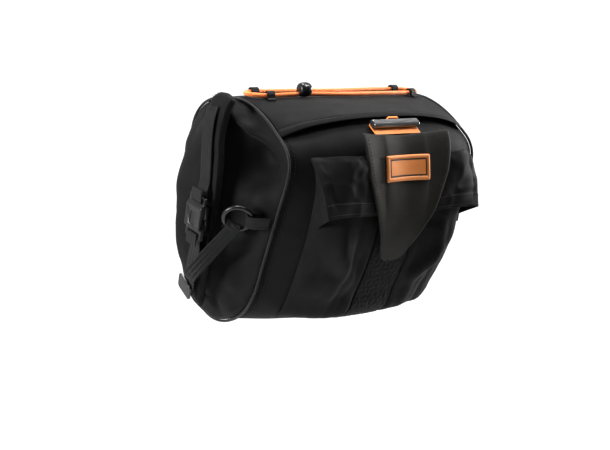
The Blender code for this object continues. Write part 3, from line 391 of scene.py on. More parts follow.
def thick_sheet(name, grid, thickness, material, lift=None):
    """A closed sheet from its inner grid (rows down, columns +X) with rounded edges."""
    rows, cols = grid.shape[:2]
    normal = sheet_normals(grid)
    if lift is not None:
        grid = grid + normal * lift[..., None]
        normal = sheet_normals(grid)
    thick = np.broadcast_to(np.asarray(thickness, float), grid.shape[:2])[..., None]
    outer = grid + normal * thick
    uv = grid_uv(grid)
    points = [*grid.reshape(-1, 3), *outer.reshape(-1, 3)]
    uvs = [*uv.reshape(-1, 2), *uv.reshape(-1, 2)]
    faces = []
    size = rows * cols
    for i in range(rows - 1):
        for j in range(cols - 1):
            a = i * cols + j
            faces.append((a, a + 1, a + cols + 1, a + cols))
            faces.append((size + a, size + a + cols, size + a + cols + 1, size + a + 1))
    rim = [(0, j) for j in range(cols)] + [(i, cols - 1) for i in range(1, rows)]
    rim += [(rows - 1, j) for j in range(cols - 2, -1, -1)] + [(i, 0) for i in range(rows - 2, 0, -1)]
    start = len(points)
    for i, j in rim:
        inward_i, inward_j = min(max(i, 1), rows - 2), min(max(j, 1), cols - 2)
        push = unit(grid[i, j] - grid[inward_i, inward_j])
        push = square_to(push, normal[i, j])
        points.append((grid[i, j] + outer[i, j]) / 2 + push * thick[i, j] * 0.5)
        uvs.append(uv[i, j])
    for k, (i, j) in enumerate(rim):
        i2, j2 = rim[(k + 1) % len(rim)]
        a, b, m, n = i * cols + j, i2 * cols + j2, start + k, start + (k + 1) % len(rim)
        faces.append((a, b, n, m))
        faces.append((m, n, size + b, size + a))
    return mesh_object(name, points, faces, material, uvs)


def sweep(name, centres, sides, ups, profile, material, closed=False, angle=50, scale=None):
    """A profile carried along a line; uv runs round the profile and along the line."""
    profile = np.asarray(profile, float)
    count, turns = len(profile), len(centres)
    scale = np.ones(turns) if scale is None else scale
    points = (centres[:, None] + sides[:, None] * profile[None, :, :1] * scale[:, None, None]
              + ups[:, None] * profile[None, :, 1:] * scale[:, None, None])
    uvs = np.stack(np.broadcast_arrays(run_of(profile)[None, :], run_of(centres)[:, None]), -1)
    faces = []
    for i in range(turns if closed else turns - 1):
        faces += band(i * count, (i + 1) % turns * count, count)
    if not closed:
        faces.append(tuple(range(count)))
        faces.append(tuple(range((turns - 1) * count, turns * count)))
    return mesh_object(name, points.reshape(-1, 3), faces, material, uvs.reshape(-1, 2), angle)


def ribbon_profile(width, thick, edge_steps=3):
    """A flat strap's outline with rounded edges, from one edge across."""
    a, r = width / 2 - thick / 2, thick / 2
    angles = np.linspace(-pi / 2, pi / 2, 2 * edge_steps + 1)
    across = np.linspace(-a, a, 7)
    right = [(a + r * cos(t), r * sin(t)) for t in angles[1:-1]]
    left = [(-a - r * cos(t), -r * sin(t)) for t in angles[1:-1]]
    return [(x, -r) for x in across] + right + [(x, r) for x in across[::-1]] + left


def circle(radius, count):
    return [(radius * cos(2 * pi * k / count), radius * sin(2 * pi * k / count))
            for k in range(count)]


def laid_sweep(name, line, out, profile, material):
    """A sweep whose profile keeps its second axis towards out."""
    along = unit(np.gradient(line, axis=0))
    across = unit(np.cross(out, along))
    return sweep(name, line, across, np.cross(along, across), profile, material)


def ribbon(name, path, width, thick, material):
    """A strap along (point, outward) pairs, smoothed between them."""
    centres, outs = (np.array(column, float) for column in zip(*path))
    t = np.linspace(0, len(path) - 1, (len(path) - 1) * 6 + 1)
    line, out = spline(centres, t), unit(spline(unit(outs), t))
    return laid_sweep(name, line, out, ribbon_profile(width, thick), material)


def round_edges(item, width, segments, angle, harden):
    rounding = item.modifiers.new("rounding", "BEVEL")
    rounding.width, rounding.segments = width, segments
    rounding.limit_method, rounding.angle_limit = "ANGLE", radians(angle)
    rounding.harden_normals = harden


def prism(name, outline, low, high, axes, material, bevel=0.0, segments=2):
    """An outline in the first two axes, extruded along the third, with rounded edges."""
    origin, first, second, third = (np.asarray(v, float) for v in axes)
    points = [origin + first * a + second * b + third * low for a, b in outline]
    points += [origin + first * a + second * b + third * high for a, b in outline]
    count = len(outline)
    faces = [tuple(range(count)), tuple(range(count, 2 * count))]
    faces += band(0, count, count)
    uvs = [(a, b) for a, b in outline] * 2
    item = mesh_object(name, points, faces, material, uvs, angle=35)
    if bevel:
        round_edges(item, bevel, segments, 40, True)
    return item


def rounded(width, height, radius, corner_steps=5):
    outline = []
    for sign_a, sign_b, start in ((1, 1, 0), (-1, 1, 90), (-1, -1, 180), (1, -1, 270)):
        for step in range(corner_steps + 1):
            turn = radians(start + 90 * step / corner_steps)
            outline.append((sign_a * (width / 2 - radius) + radius * cos(turn),
                            sign_b * (height / 2 - radius) + radius * sin(turn)))
    return outline


def apply_modifiers(item):
    depsgraph = bpy.context.evaluated_depsgraph_get()
    mesh = bpy.data.meshes.new_from_object(item.evaluated_get(depsgraph))
    item.modifiers.clear()
    item.data = mesh


def carve(item, cutters):
    for cutter in cutters:
        boolean = item.modifiers.new("cut", "BOOLEAN")
        boolean.operation, boolean.solver, boolean.object = "DIFFERENCE", "EXACT", cutter
    bpy.context.view_layer.update()
    apply_modifiers(item)
    for cutter in cutters:
        bpy.data.objects.remove(cutter)


def stitches(name, lines, material, pitch=0.0036, length=0.0024, radius=0.00032):
    """Rows of sewn stitches along (points, outward) lines, as one mesh."""
    points, faces = [], []
    for line, out in lines:
        line, out = np.asarray(line, float), np.asarray(out, float)
        run = run_of(line)
        for start in np.arange(pitch / 2, run[-1] - length, pitch):
            first, last, normal = (np.array([np.interp(s, run, values[:, k]) for k in range(3)])
                                   for s, values in ((start, line), (start + length, line), (start, out)))
            normal = unit(normal)
            along = unit(last - first)
            across = np.cross(normal, along)
            base = len(points)
            for share, size, sink in ((0, 0.35, -0.5), (0.25, 1, 0.3), (0.75, 1, 0.3), (1, 0.35, -0.5)):
                centre = between(first, last, share) + normal * radius * sink
                points += [centre + across * a * size + normal * b * size for a, b in circle(radius, 5)]
            for here in range(base, base + 15, 5):
                faces += band(here, here + 5, 5)
            faces.append(tuple(base + j for j in range(5)))
            faces.append(tuple(base + 15 + j for j in range(5)))
    return mesh_object(name, points, faces, material)


# Materials

def nodes_of(name, color, roughness, metallic=0.0, **direct):
    material = bpy.data.materials.new(name)
    material.use_nodes = True
    tree = material.node_tree
    shader = tree.nodes["Principled BSDF"]
    shader.inputs["Base Color"].default_value = (*color, 1)
    shader.inputs["Roughness"].default_value = roughness
    shader.inputs["Metallic"].default_value = metallic
    for key, value in direct.items():
        shader.inputs[key.replace("_", " ")].default_value = value
    return material, tree, shader


def node(tree, kind, inputs=None, **settings):
    item = tree.nodes.new(kind)
    for key, value in settings.items():
        setattr(item, key, value)
    for key, value in (inputs or {}).items():
        if isinstance(value, bpy.types.NodeSocket):
            tree.links.new(value, item.inputs[key])
        else:
            item.inputs[key].default_value = value
    return item


def math_node(tree, operation, a, b=0.0):
    return node(tree, "ShaderNodeMath", {0: a, 1: b}, operation=operation).outputs[0]


def noise_fac(tree, coords, scale, detail, **more):
    """Noise in the object's own coordinates."""
    inputs = {"Vector": coords.outputs["Object"], "Scale": scale, "Detail": detail, **more}
    return node(tree, "ShaderNodeTexNoise", inputs).outputs["Fac"]


def two_tones(tree, shader, source, dark, light, low=0.0, high=1.0):
    ramp = node(tree, "ShaderNodeValToRGB", {"Fac": source})
    for element, position, color in zip(ramp.color_ramp.elements, (low, high), (dark, light)):
        element.position, element.color = position, (*color, 1)
    tree.links.new(ramp.outputs["Color"], shader.inputs["Base Color"])


def tint(tree, shader, dark, light, scale):
    """Base colour that drifts between two tones."""
    coords = node(tree, "ShaderNodeTexCoord")
    two_tones(tree, shader, noise_fac(tree, coords, scale, 4.0, Roughness=0.6), dark, light, 0.35, 0.68)
    return coords


def uneven_gloss(tree, shader, source, low, high):
    rough = node(tree, "ShaderNodeMapRange", {"Value": source, "To Min": low, "To Max": high})
    tree.links.new(rough.outputs["Result"], shader.inputs["Roughness"])


def uv_of(tree, coords):
    return node(tree, "ShaderNodeSeparateXYZ", {"Vector": coords.outputs["UV"]}).outputs


def times(tree, a, b):
    return math_node(tree, "MULTIPLY", a, b)


def plus(tree, a, b):
    return math_node(tree, "ADD", a, b)


def sine(tree, a, turn):
    return math_node(tree, "SINE", times(tree, a, turn))


def bump_into(tree, shader, height, strength, distance):
    bump = node(tree, "ShaderNodeBump", {"Height": height, "Strength": strength, "Distance": distance})
    tree.links.new(bump.outputs["Normal"], shader.inputs["Normal"])


def weave_height(tree, coords, pitch):
    """A plain weave: crossed threads of one pitch, from the piece's uv in metres."""
    uv, turn = uv_of(tree, coords), 2 * pi / pitch
    return times(tree, sine(tree, uv["X"], turn), sine(tree, uv["Y"], turn))


def cloth_material(name, dark, light, roughness, pitch, strength, sheen=0.25, grain=0.35):
    material, tree, shader = nodes_of(name, dark, roughness, Sheen_Weight=sheen, Sheen_Roughness=0.45,
                                      Specular_IOR_Level=0.14)
    coords = tint(tree, shader, dark, light, 26.0)
    soft = noise_fac(tree, coords, 90.0, 5.0)
    height = plus(tree, times(tree, weave_height(tree, coords, pitch), 0.25),
                  times(tree, noise_fac(tree, coords, 700.0, 3.0), grain))
    bump_into(tree, shader, plus(tree, height, times(tree, soft, 0.8)), strength, 0.0005)
    uneven_gloss(tree, shader, soft, roughness - 0.08, roughness + 0.10)
    return material


def ribbed_material(name, dark, light, roughness):
    """Woven webbing: ribs across a strap that lean to and fro along it."""
    material, tree, shader = nodes_of(name, dark, roughness, Sheen_Weight=0.04, Sheen_Roughness=0.4,
                                      Specular_IOR_Level=0.25)
    coords = tint(tree, shader, dark, light, 60.0)
    uv, lane, rib = uv_of(tree, coords), 0.0044, 0.0013
    zigzag = times(tree, math_node(tree, "PINGPONG", uv["X"], lane / 2), 0.8)
    ribs = sine(tree, plus(tree, uv["Y"], zigzag), 2 * pi / rib)
    lanes = times(tree, sine(tree, uv["X"], 2 * pi / lane), 0.5)
    bump_into(tree, shader, plus(tree, ribs, lanes), 0.5, 0.0003)
    return material


def braid_material(name, dark, light):
    """A braided sheath: two sets of threads that cross on the slant, with painted shade between the threads
    and painted highlight on their crests.
    """
    material, tree, shader = nodes_of(name, dark, 0.55, Sheen_Weight=0.2)
    uv = uv_of(tree, node(tree, "ShaderNodeTexCoord"))
    turn = 2 * pi / (pi * CORD_DIAMETER / 8)
    pattern = times(tree, sine(tree, plus(tree, uv["X"], uv["Y"]), turn),
                    sine(tree, math_node(tree, "SUBTRACT", uv["X"], uv["Y"]), turn))
    # Base colour from the thread height: painted shade in the hollows between threads, painted highlight on
    # their crests
    two_tones(tree, shader, plus(tree, times(tree, pattern, 0.5), 0.5), dark, light)
    bump_into(tree, shader, pattern, 0.6, 0.0004)
    return material


def moulded_material(name, dark, light, roughness, strength=0.15, scale=1400.0, metallic=0.0, **direct):
    """Moulded plastic or rubber with a fine spark texture."""
    material, tree, shader = nodes_of(name, dark, roughness, metallic, **direct)
    coords = tint(tree, shader, dark, light, 35.0)
    bump_into(tree, shader, noise_fac(tree, coords, scale, 2.0), strength, 0.0002)
    wear = noise_fac(tree, coords, 120.0, 6.0)
    uneven_gloss(tree, shader, wear, max(0.03, roughness - 0.07), roughness + 0.09)
    return material


CLOTHS = (cloth_material(*row) for row in (
    ("nylon", (0.0060, 0.0060, 0.0062), (0.0092, 0.0092, 0.0095), 0.70, 0.0009, 0.30, 0.03),
    ("tongue_sheet", (0.0195, 0.0185, 0.0170), (0.0255, 0.0242, 0.0218), 0.62, 0.0006, 0.12, 0.06, 0.5),
    ("loop_pile", (0.0040, 0.0040, 0.0040), (0.0085, 0.0082, 0.0080), 0.95, 0.0011, 0.8, 0.15, 1.6),
    ("piping_tape", (0.013, 0.013, 0.0136), (0.025, 0.025, 0.026), 0.55, 0.0008, 0.3),
    ("sewing_thread", (0.018, 0.018, 0.019), (0.030, 0.030, 0.031), 0.55, 0.0004, 0.3),
    ("dark_thread", (0.010, 0.010, 0.0105), (0.018, 0.018, 0.0185), 0.55, 0.0004, 0.3)))
NYLON, SKIN, FUZZ, PIPE, THREAD, DARK_THREAD = CLOTHS
WEBBING = ribbed_material("ribbed_webbing", (0.0042, 0.0042, 0.0044), (0.0085, 0.0085, 0.0088), 0.55)
PLASTIC = moulded_material("moulded_plastic", (0.0055, 0.0055, 0.0058), (0.0085, 0.0085, 0.0088), 0.34)
GLOSS = moulded_material("polished_bar", (0.200, 0.200, 0.205), (0.270, 0.270, 0.276), 0.16, 0.03,
                         metallic=0.85, Coat_Weight=0.8)
RUBBER = moulded_material("orange_rubber_sheet", (0.62, 0.215, 0.050), (0.72, 0.270, 0.072), 0.50, 0.25,
                          900.0)
PATCH_RUBBER = moulded_material("patch_rubber", (0.53, 0.205, 0.058), (0.63, 0.262, 0.084), 0.50, 0.25,
                                900.0)
INSET = moulded_material("patch_line", (0.020, 0.014, 0.010), (0.032, 0.022, 0.015), 0.6)
# Dark tone is painted shade between the braid's threads, light tone is painted highlight on their crests
CORD = braid_material("braided_sheath", (0.72, 0.130, 0.016), (1.0, 0.340, 0.085))
FOAM = moulded_material("spacer_rubber", (0.008, 0.008, 0.0085), (0.014, 0.014, 0.0145), 0.75, 0.5, 500.0)


def dress(item, slot, *nodes):
    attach(item, "root")
    if nodes:
        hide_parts(*nodes)
    return item


def sew(name, slot, lines, thread=THREAD, *measures):
    dress(stitches(name, lines, thread, *measures), slot)


# The main compartment

def body_grid():
    """The body's outer surface, rows round and columns from the left mouth to the right one."""
    shares = 1 - np.linspace(0, 1, 19)[:-1] ** 1.15
    rows = np.linspace(0, ROWS, 221)[:-1]
    left, right = ([end_cloth(side, share, rows) for share in shares] for side in (-1, 1))
    middle = [barrel(np.full(rows.shape, HALF_SEAM * sin(pi * (k / 64 - 0.5))), rows) for k in range(65)]
    return np.stack(left + middle + right[::-1], 1), len(shares)


def build_body():
    grid, ends = body_grid()
    normal = sheet_normals(grid, wrap=True)
    cols = grid.shape[1]
    index = np.arange(cols)
    depth = np.maximum(0, 1 - np.minimum(index, index[::-1]) / ends)
    end_mask = (arch(depth) ** 0.8)[None, :]
    wrinkle = crumple(grid, (creases, 11, 0.060, 0.0030), (waves, 5, 0.045, 0.0014),
                      (creases, 31, 0.028, 0.0012))
    wrinkle = (wrinkle - 0.0012) * end_mask
    x_share = clamp(np.abs(grid[..., 0]) / HALF_SEAM)
    barrel_mask = (depth == 0)[None, :] * clamp((1 - x_share) / 0.12)
    slack = (creases(grid * (0.45, 1, 1), 77, 0.050) * 0.8 + waves(grid, 78, 0.06) * 0.5 + 0.5) * 0.0011
    outer = grid + normal * (wrinkle - slack * barrel_mask)[..., None]
    normal = sheet_normals(outer, wrap=True)
    inner = outer - normal * WALL
    rows = grid.shape[0]
    u = np.concatenate(([0], np.cumsum(steps(grid, 1).mean(0))))
    v = np.concatenate(([0], np.cumsum(steps(grid).mean(1))))
    uv = np.stack(np.meshgrid(u - u.mean(), v), -1).reshape(-1, 2)
    size = rows * cols
    faces = []
    for i in range(rows):
        k = (i + 1) % rows
        for j in range(cols - 1):
            a, b, c, d = i * cols + j, i * cols + j + 1, k * cols + j + 1, k * cols + j
            faces.append((a, d, c, b))
            faces.append((size + a, size + b, size + c, size + d))
        for j in (0, cols - 1):
            faces.append((i * cols + j, k * cols + j, size + k * cols + j, size + i * cols + j))
    item = mesh_object("body_cloth", [*outer.reshape(-1, 3), *inner.reshape(-1, 3)], faces, NYLON, [*uv, *uv])
    dress(item, "pack_cloth", "body_shell")


def build_piping(side, suffix):
    rows = np.linspace(0, ROWS, 241)[:-1]
    x = np.full(rows.shape, side * HALF_SEAM)
    out = barrel_out(x, rows)
    centre = barrel(x, rows) + out * (PIPING_DIAMETER / 2 + SHEET_GAP * 0.5)
    along = loop_directions(centre)
    item = sweep(f"piping_cord_{suffix}", centre, np.cross(out, along), out,
                 circle(PIPING_DIAMETER * 0.46, 12), PIPE, closed=True)
    dress(item, "piping", f"end_piping_{suffix}")
    x = np.full(rows.shape, side * (HALF_SEAM - PIPING_FLANGE))
    line = on_barrel(x, rows, 0.0001)
    sew(f"piping_stitches_{suffix}", "piping", [(line, barrel_out(x, rows))], DARK_THREAD)


def build_top():
    half = HALF_SEAM - PIPING_DIAMETER * 0.85

    def place(k, a):
        """X, row and rise of the front lip, k of the way forward and a across."""
        row = between(TOP_BACK_ROW, TOP_FRONT_ROW, k)
        lip = np.maximum(0, (row - TOP_LIP_ROW) / (TOP_FRONT_ROW - TOP_LIP_ROW)) ** 1.5
        row, rise = row + lip * TOP_BOW_ROWS * a * a, lip * (1 - 0.85 * a ** 6)
        x, row, rise = np.broadcast_arrays(half * a, row, rise)
        return x, row, rise * TOP_LIP_LIFT

    k = np.linspace(0, 1, 90)[:, None]
    a = np.linspace(-1, 1, 110)[None, :]
    x, row, rise = place(k, a)
    grid = on_barrel(x, row, SHEET_GAP * (1 - 0.6 * a ** 6) + rise)
    edge = clamp((1 - np.abs(a)) / 0.05)
    lift = (waves(grid, 21, 0.09) * 0.5 + 0.5 + creases(grid, 22, 0.07) * 0.7) * 0.0009 * edge
    lift = lift + 0.0012 * bell(k, 0.965, 0.018) - 0.0006 * bell(k, 0.925, 0.008)
    item = thick_sheet("top_cover", grid, TOP_THICK - 0.0012, NYLON, lift)
    dress(item, "pack_cloth", "top_panel")
    x, row, rise = place(TOP_STITCH_SHARE, np.linspace(-0.97, 0.97, 80))
    line = on_barrel(x, row, SHEET_GAP + rise + TOP_THICK - 0.0008)
    sew("top_stitches", "pack_cloth", [(line, barrel_out(x, row))])


# The front

def build_pouch(side, suffix):
    u = np.linspace(0, 1, 96)[None, :]
    v = np.linspace(0, 1, 80)[:, None]
    share = u if side > 0 else 1 - u
    x = side * between(POUCH_INNER_X, POUCH_OUTER_X, share)
    row = between(POUCH_TOP, POUCH_FOOT, v)
    x, row, share = np.broadcast_arrays(x, row, share)
    fall, down = pouch_fall(row)
    below = np.maximum(0, np.sin(pi * np.maximum(0, down - 0.32) / 0.68)) ** 0.8
    wave = np.sin(2 * pi * GATHER_COUNT * share + 0.9 * np.sin(down * 4)) * np.sin(pi * share)
    broad = np.sin(2 * pi * 1.8 * (share + 0.35 * down) + side) * np.sin(pi * share)
    stand = pouch_stand(x) * fall + GATHER_DEPTH * (0.30 * wave + 0.95 * broad) * below
    slant = np.exp(-((share - 0.64 + 1.9 * (down - 0.50)) / 0.15) ** 2)
    length = arch((down - 0.36) / 0.52) ** 1.3
    stand = stand + SLANT_FOLD_STAND * slant * length * np.sin(pi * share)
    grid = off_barrel(x, row, np.maximum(0, stand))
    pinned = clamp(np.minimum(share, 1 - share) / 0.06) * clamp((1 - down) / 0.06)
    long = grid * (1.0, 0.35, 0.35)
    lift = (creases(long, 41 + side, 0.058) * 0.0034 + waves(grid, 44 + side, 0.070) * 0.0018
            + creases(grid, 47 + side, 0.035) * 0.0006) * pinned
    binding = np.exp(-((row - POUCH_RIM_ROW) / 0.16) ** 8)
    lift = np.maximum(lift, -0.0004) * (1 - 0.8 * binding) + 0.0011 * binding * clamp(pinned * 2)
    item = thick_sheet(f"pouch_cloth_{suffix}", grid, POUCH_WALL * 0.8, NYLON, lift)
    dress(item, "pack_cloth", f"pouch_{suffix}")
    lines = []
    row = np.linspace(POUCH_TOP + 0.8, POUCH_FOOT - 0.05, 60)
    for share in (0.018, 0.982):
        x = np.full(row.shape, side * between(POUCH_INNER_X, POUCH_OUTER_X, share))
        lines.append((off_barrel(x, row, np.full(row.shape, POUCH_WALL * 0.85)), barrel_out(x, row)))
    sew(f"pouch_stitches_{suffix}", "pack_cloth", lines)


def build_cuff(side, suffix):
    front, turned, rows = 70, 14, 60
    shares = np.concatenate((np.linspace(0, 1, front), np.ones(turned)))
    turn = np.linspace(0, 1, turned + 1)[1:]
    xs = between(CUFF_INNER_X, CUFF_OUTER_X, shares)
    xs[front:] = CUFF_OUTER_X - 0.0045 * turn ** 1.3
    outs = np.ones(front + turned)
    outs[front:] = 1 - 0.97 * turn
    if side < 0:
        xs, shares, outs = -xs[::-1], shares[::-1], outs[::-1]
    else:
        xs = xs * side
    v = np.linspace(0, 1, rows)[:, None]
    top, hem = cuff_rows(shares)
    row = between(top, hem, v)
    x, row, out, share = np.broadcast_arrays(xs[None, :], row, outs[None, :], shares[None, :])
    stand = cuff_stand(x, row)
    x = x - side * v * (0.006 * share ** 2 + 0.005 * (1 - out))
    row = row + v * 0.85 * (1 - out)
    grid = off_barrel(x, row, stand * out)
    face = (out > 0.999).astype(float) * clamp((1 - share) / 0.05 + 0.4)
    v_full = np.broadcast_to(v, x.shape)
    lift = crumple(grid, (creases, 61 + side, 0.034, 0.0024), (waves, 64 + side, 0.030, 0.0012))
    lift = lift * (0.25 + 0.75 * face) * np.clip(v_full / 0.1, 0.15, 1)
    hem_band = clamp((v_full - CUFF_HEM_SHARE) / 0.02)
    lift = lift * (1 - 0.45 * hem_band) + 0.0009 * hem_band
    item = thick_sheet(f"cuff_cloth_{suffix}", grid, CUFF_THICK * 0.75, NYLON, lift)
    dress(item, "pack_cloth", f"pouch_cuff_{suffix}")
    picks = np.where(outs > 0.999)[0]
    normal = sheet_normals(grid)
    raised = grid + normal * (lift + CUFF_THICK * 0.78)[..., None]
    hem_line = int((CUFF_HEM_SHARE + 0.015) * (rows - 1))
    lines = [(raised[i, picks], normal[i, picks]) for i in (hem_line, rows - 3)]
    sew(f"cuff_stitches_{suffix}", "pack_cloth", lines)


def build_tongue():
    v = np.linspace(0, 1, 130)[:, None]
    a = np.linspace(-1, 1, 72)[None, :]
    row = between(TONGUE_LINE[0, 0], TONGUE_LINE[-1, 0], v)
    half = tongue_half(row)
    end = np.sqrt(np.clip(1 - clamp((v - 0.965) / 0.035) ** 2, 0.25, 1))
    x, row = np.broadcast_arrays(half * a * end, row)
    grid = off_barrel(x, row, tongue_stand(x, row))
    lift = crumple(grid, (waves, 91, 0.10, 0.0005), (creases, 92, 0.09, 0.0004))
    rim = clamp((1 - np.abs(np.broadcast_to(a, x.shape))) / 0.05)
    lift = lift * rim - 0.0003 * (1 - rim)
    item = thick_sheet("tongue_cloth", grid, TONGUE_THICK * 0.85, SKIN, lift)
    dress(item, "tongue_skin", "tongue")
    normal = sheet_normals(grid)
    top = grid + normal * (lift + TONGUE_THICK * 0.86)[..., None]
    lines = [(top[4:-6, j], normal[4:-6, j]) for j in (3, 68)] + [(top[4, 3:69], normal[4, 3:69])]
    across = int(0.66 * 129)
    lines.append((top[across, 12:60], normal[across, 12:60]))
    sew("tongue_stitches", "tongue_skin", lines, DARK_THREAD, 0.0040, 0.0026, 0.0003)


def build_strip():
    row = np.linspace(*STRIP_ROWS, 120)[:, None]
    x = np.linspace(-LOOP_STRIP_WIDTH / 2, LOOP_STRIP_WIDTH / 2, 60)[None, :]
    x, row = np.broadcast_arrays(x, row)
    grid = on_barrel(x, row, np.full(x.shape, SHEET_GAP * 0.8))
    lift = (waves(grid, 95, 0.006, 12) + creases(grid, 96, 0.009)) * 0.00025
    dress(thick_sheet("loop_pile_strip", grid, LOOP_STRIP_THICK * 0.8, FUZZ, lift), "loop_tape", "loop_strip")


def build_patch():
    half_x, half_y, down, across = PATCH_LENGTH / 2, PATCH_HEIGHT / 2, 50, 110
    row_span = np.linalg.norm(barrel(0.0, PATCH_ROW + 0.5) - barrel(0.0, PATCH_ROW - 0.5))
    a, b = np.broadcast_arrays(np.linspace(-1, 1, across)[None, :], np.linspace(-1, 1, down)[:, None])
    x, row = half_x * a, PATCH_ROW + half_y / row_span * b
    grid = off_barrel(x, row, tongue_stand(x, row) + TONGUE_THICK + SHEET_GAP * 0.4)
    edge = np.minimum(half_x * (1 - np.abs(a)), half_y * (1 - np.abs(b)))
    border = clamp((0.0024 - edge) / 0.0004) * np.clip(edge / 0.0008, 0.3, 1)
    groove = bell(edge, PATCH_INSET, 0.00035)
    lift = 0.0008 * border - 0.0004 * groove
    item = thick_sheet("rubber_patch", grid, PATCH_THICK * 0.8, PATCH_RUBBER, lift)
    dress(item, "orange_rubber", "patch")
    normal = sheet_normals(grid)
    level = grid + normal * (PATCH_THICK * 0.8 + 0.00005)
    inset = np.array((half_x - PATCH_INSET, half_y - PATCH_INSET))
    corners = inset * ((-1, -1), (1, -1), (1, 1), (-1, 1), (-1, -1))
    share = np.linspace(0, 1, 24)[:-1, None]
    spots = np.concatenate([between(first, last, share) for first, last in zip(corners, corners[1:])])
    j = np.rint((spots[:, 0] / half_x + 1) * (across - 1) / 2).astype(int)
    i = np.rint((spots[:, 1] / half_y + 1) * (down - 1) / 2).astype(int)
    line, out = level[i, j], normal[i, j]
    along = loop_directions(line)
    item = sweep("patch_inset_line", line, unit(np.cross(out, along)), out, ribbon_profile(0.0014, 0.0003, 1),
                 INSET, closed=True)
    dress(item, "orange_rubber")


def build_clasp():
    out, along = barrel_out(0.0, CLASP_ROW), np.array((1.0, 0, 0))
    up = np.cross(out, along)
    origin = barrel(0.0, CLASP_ROW) + out * GAP
    plate = prism("clasp_plate_fine", rounded(CLASP_LENGTH, CLASP_PLATE_HEIGHT, 0.002), 0, CLASP_PLATE_THICK,
                  (origin, along, up, out), RUBBER, 0.0004)
    dress(plate, "orange_rubber", "clasp_plate")
    seat = origin + up * (CLASP_PLATE_HEIGHT - CLASP_HEIGHT) / 2
    middle = CLASP_PLATE_THICK + GAP + CLASP_DEPTH / 2
    profile = [(a + middle, b) for a, b in rounded(CLASP_DEPTH, CLASP_HEIGHT, 0.0033, 7)]
    bar = prism("clasp_bar_fine", profile, -CLASP_LENGTH / 2, CLASP_LENGTH / 2, (seat, out, up, along), GLOSS,
                0.0008, 3)
    dress(bar, "gloss_plastic", "clasp_bar")
    # Painted shade: a thin dark plastic tube on the bar's front stands for the shade in its recessed arc
    bow = np.linspace(-1, 1, 40)
    line = seat + along * (bow * 0.024)[:, None] + up * (0.0032 - 0.0052 * (1 - bow ** 2))[:, None]
    line = line + out * (middle + CLASP_DEPTH / 2 - 0.00012)
    face = np.broadcast_to(out, line.shape)
    direction = unit(np.gradient(line, axis=0))
    item = sweep("clasp_bar_recess_shade_line", line, unit(np.cross(face, direction)), face, circle(0.00032, 8), PLASTIC)
    dress(item, "gloss_plastic")
    top = origin + up * (CLASP_PLATE_HEIGHT / 2 + GAP) + out * middle
    tab = prism("clasp_tab_fine", rounded(TAB_WIDTH, CLASP_DEPTH * 0.9, 0.002), 0, TAB_THICK,
                (top, along, out, up), RUBBER, 0.0006)
    dress(tab, "orange_rubber", "clasp_tab")


# Rolled ends

def roll_profile():
    """A flattened spiral of cloth, as a closed ribbon outline."""
    turns, layer = 3.0, 0.0017
    t = np.linspace(0, 1, 150)
    angle = -pi / 2 + 2 * pi * turns * t
    shrink = layer * turns * t * 1.05
    a, b = ROLL_WIDTH / 2 - layer / 2 - shrink, ROLL_THICK / 2 - layer / 2 - shrink
    c, s = np.cos(angle), np.sin(angle)
    power = 0.62
    b = np.maximum(b, 0.0006)
    line = np.stack((np.sign(c) * np.abs(c) ** power * a, np.sign(s) * np.abs(s) ** power * b), -1)
    tangent = np.gradient(line, axis=0)
    tangent /= np.maximum(np.linalg.norm(tangent, axis=1, keepdims=True), 1e-9)
    side = np.stack((-tangent[:, 1], tangent[:, 0]), -1) * layer * 0.40
    return np.concatenate((line + side, (line - side)[::-1]))


def build_roll(side, suffix):
    ear = EAR_LENGTH / steps(mouth(side, np.linspace(0, 1, 21))).sum()
    t = np.linspace(-ear, 1 + ear, 90)
    centre, forward, outward, _ = mouth_axes(side, t)
    centre = centre + outward * (SHEET_GAP + ROLL_THICK / 2)
    item = sweep(f"roll_cloth_{suffix}", centre, forward, outward, roll_profile(), NYLON, angle=60)
    mesh = item.data
    co = np.empty(len(mesh.vertices) * 3)
    mesh.vertices.foreach_get("co", co)
    co = co.reshape(len(t), -1, 3)
    local = co - centre[:, None]
    width = (local * forward[:, None]).sum(-1)
    tall = (local * outward[:, None]).sum(-1)
    pinch = 1 - 0.10 * bell(t, BUCKLE_AT, 0.16)
    ear_width = 1 + 0.42 * bell(t, -0.02, 0.13) + 0.10 * bell(t, 1.02, 0.08)
    width = np.where(width > 0, width * ear_width[:, None], width)
    taper = 0.30 + 0.70 * np.sin(clamp((t + ear) / 0.075) * pi / 2) ** 0.8
    width = width * taper[:, None]
    closing = clamp(np.minimum(t + ear, 1 + ear - t) / 0.035)
    closing = 0.45 + 0.55 * np.sin(closing * pi / 2)
    tall = tall * closing[:, None]
    soft = (creases(co, 101 + side, 0.030) - 0.5) * 0.0013 + waves(co, 104 + side, 0.020) * 0.0006
    width = width * (pinch[:, None] - 0.02) + np.sign(width) * np.minimum(soft, 0.0008)
    tall = np.where(tall > 0, tall * 0.96 + np.minimum(soft, 0.0), tall)
    co = centre[:, None] + forward[:, None] * width[..., None] + outward[:, None] * tall[..., None]
    mesh.vertices.foreach_set("co", co.ravel())
    mesh.update()
    dress(item, "pack_cloth", f"end_roll_{suffix}")
    lines = []
    for aside in (ROLL_WIDTH * 0.40, -ROLL_WIDTH * 0.40):
        wide = pinch * 1.13 * (ear_width if aside > 0 else 1) * taper
        point = centre + outward * (ROLL_THICK / 2 * 0.62 * closing)[:, None]
        point = point + forward * (aside * wide)[:, None]
        lines.append((point, unit(outward + forward * np.sign(aside))))
    sew(f"roll_stitches_{suffix}", "pack_cloth", lines, DARK_THREAD)


def roll_outside(side, t, lift, aside=0.0):
    centre, forward, outward, _ = mouth_axes(side, t)
    return centre + outward * (SHEET_GAP + ROLL_THICK + lift) + forward * aside, outward


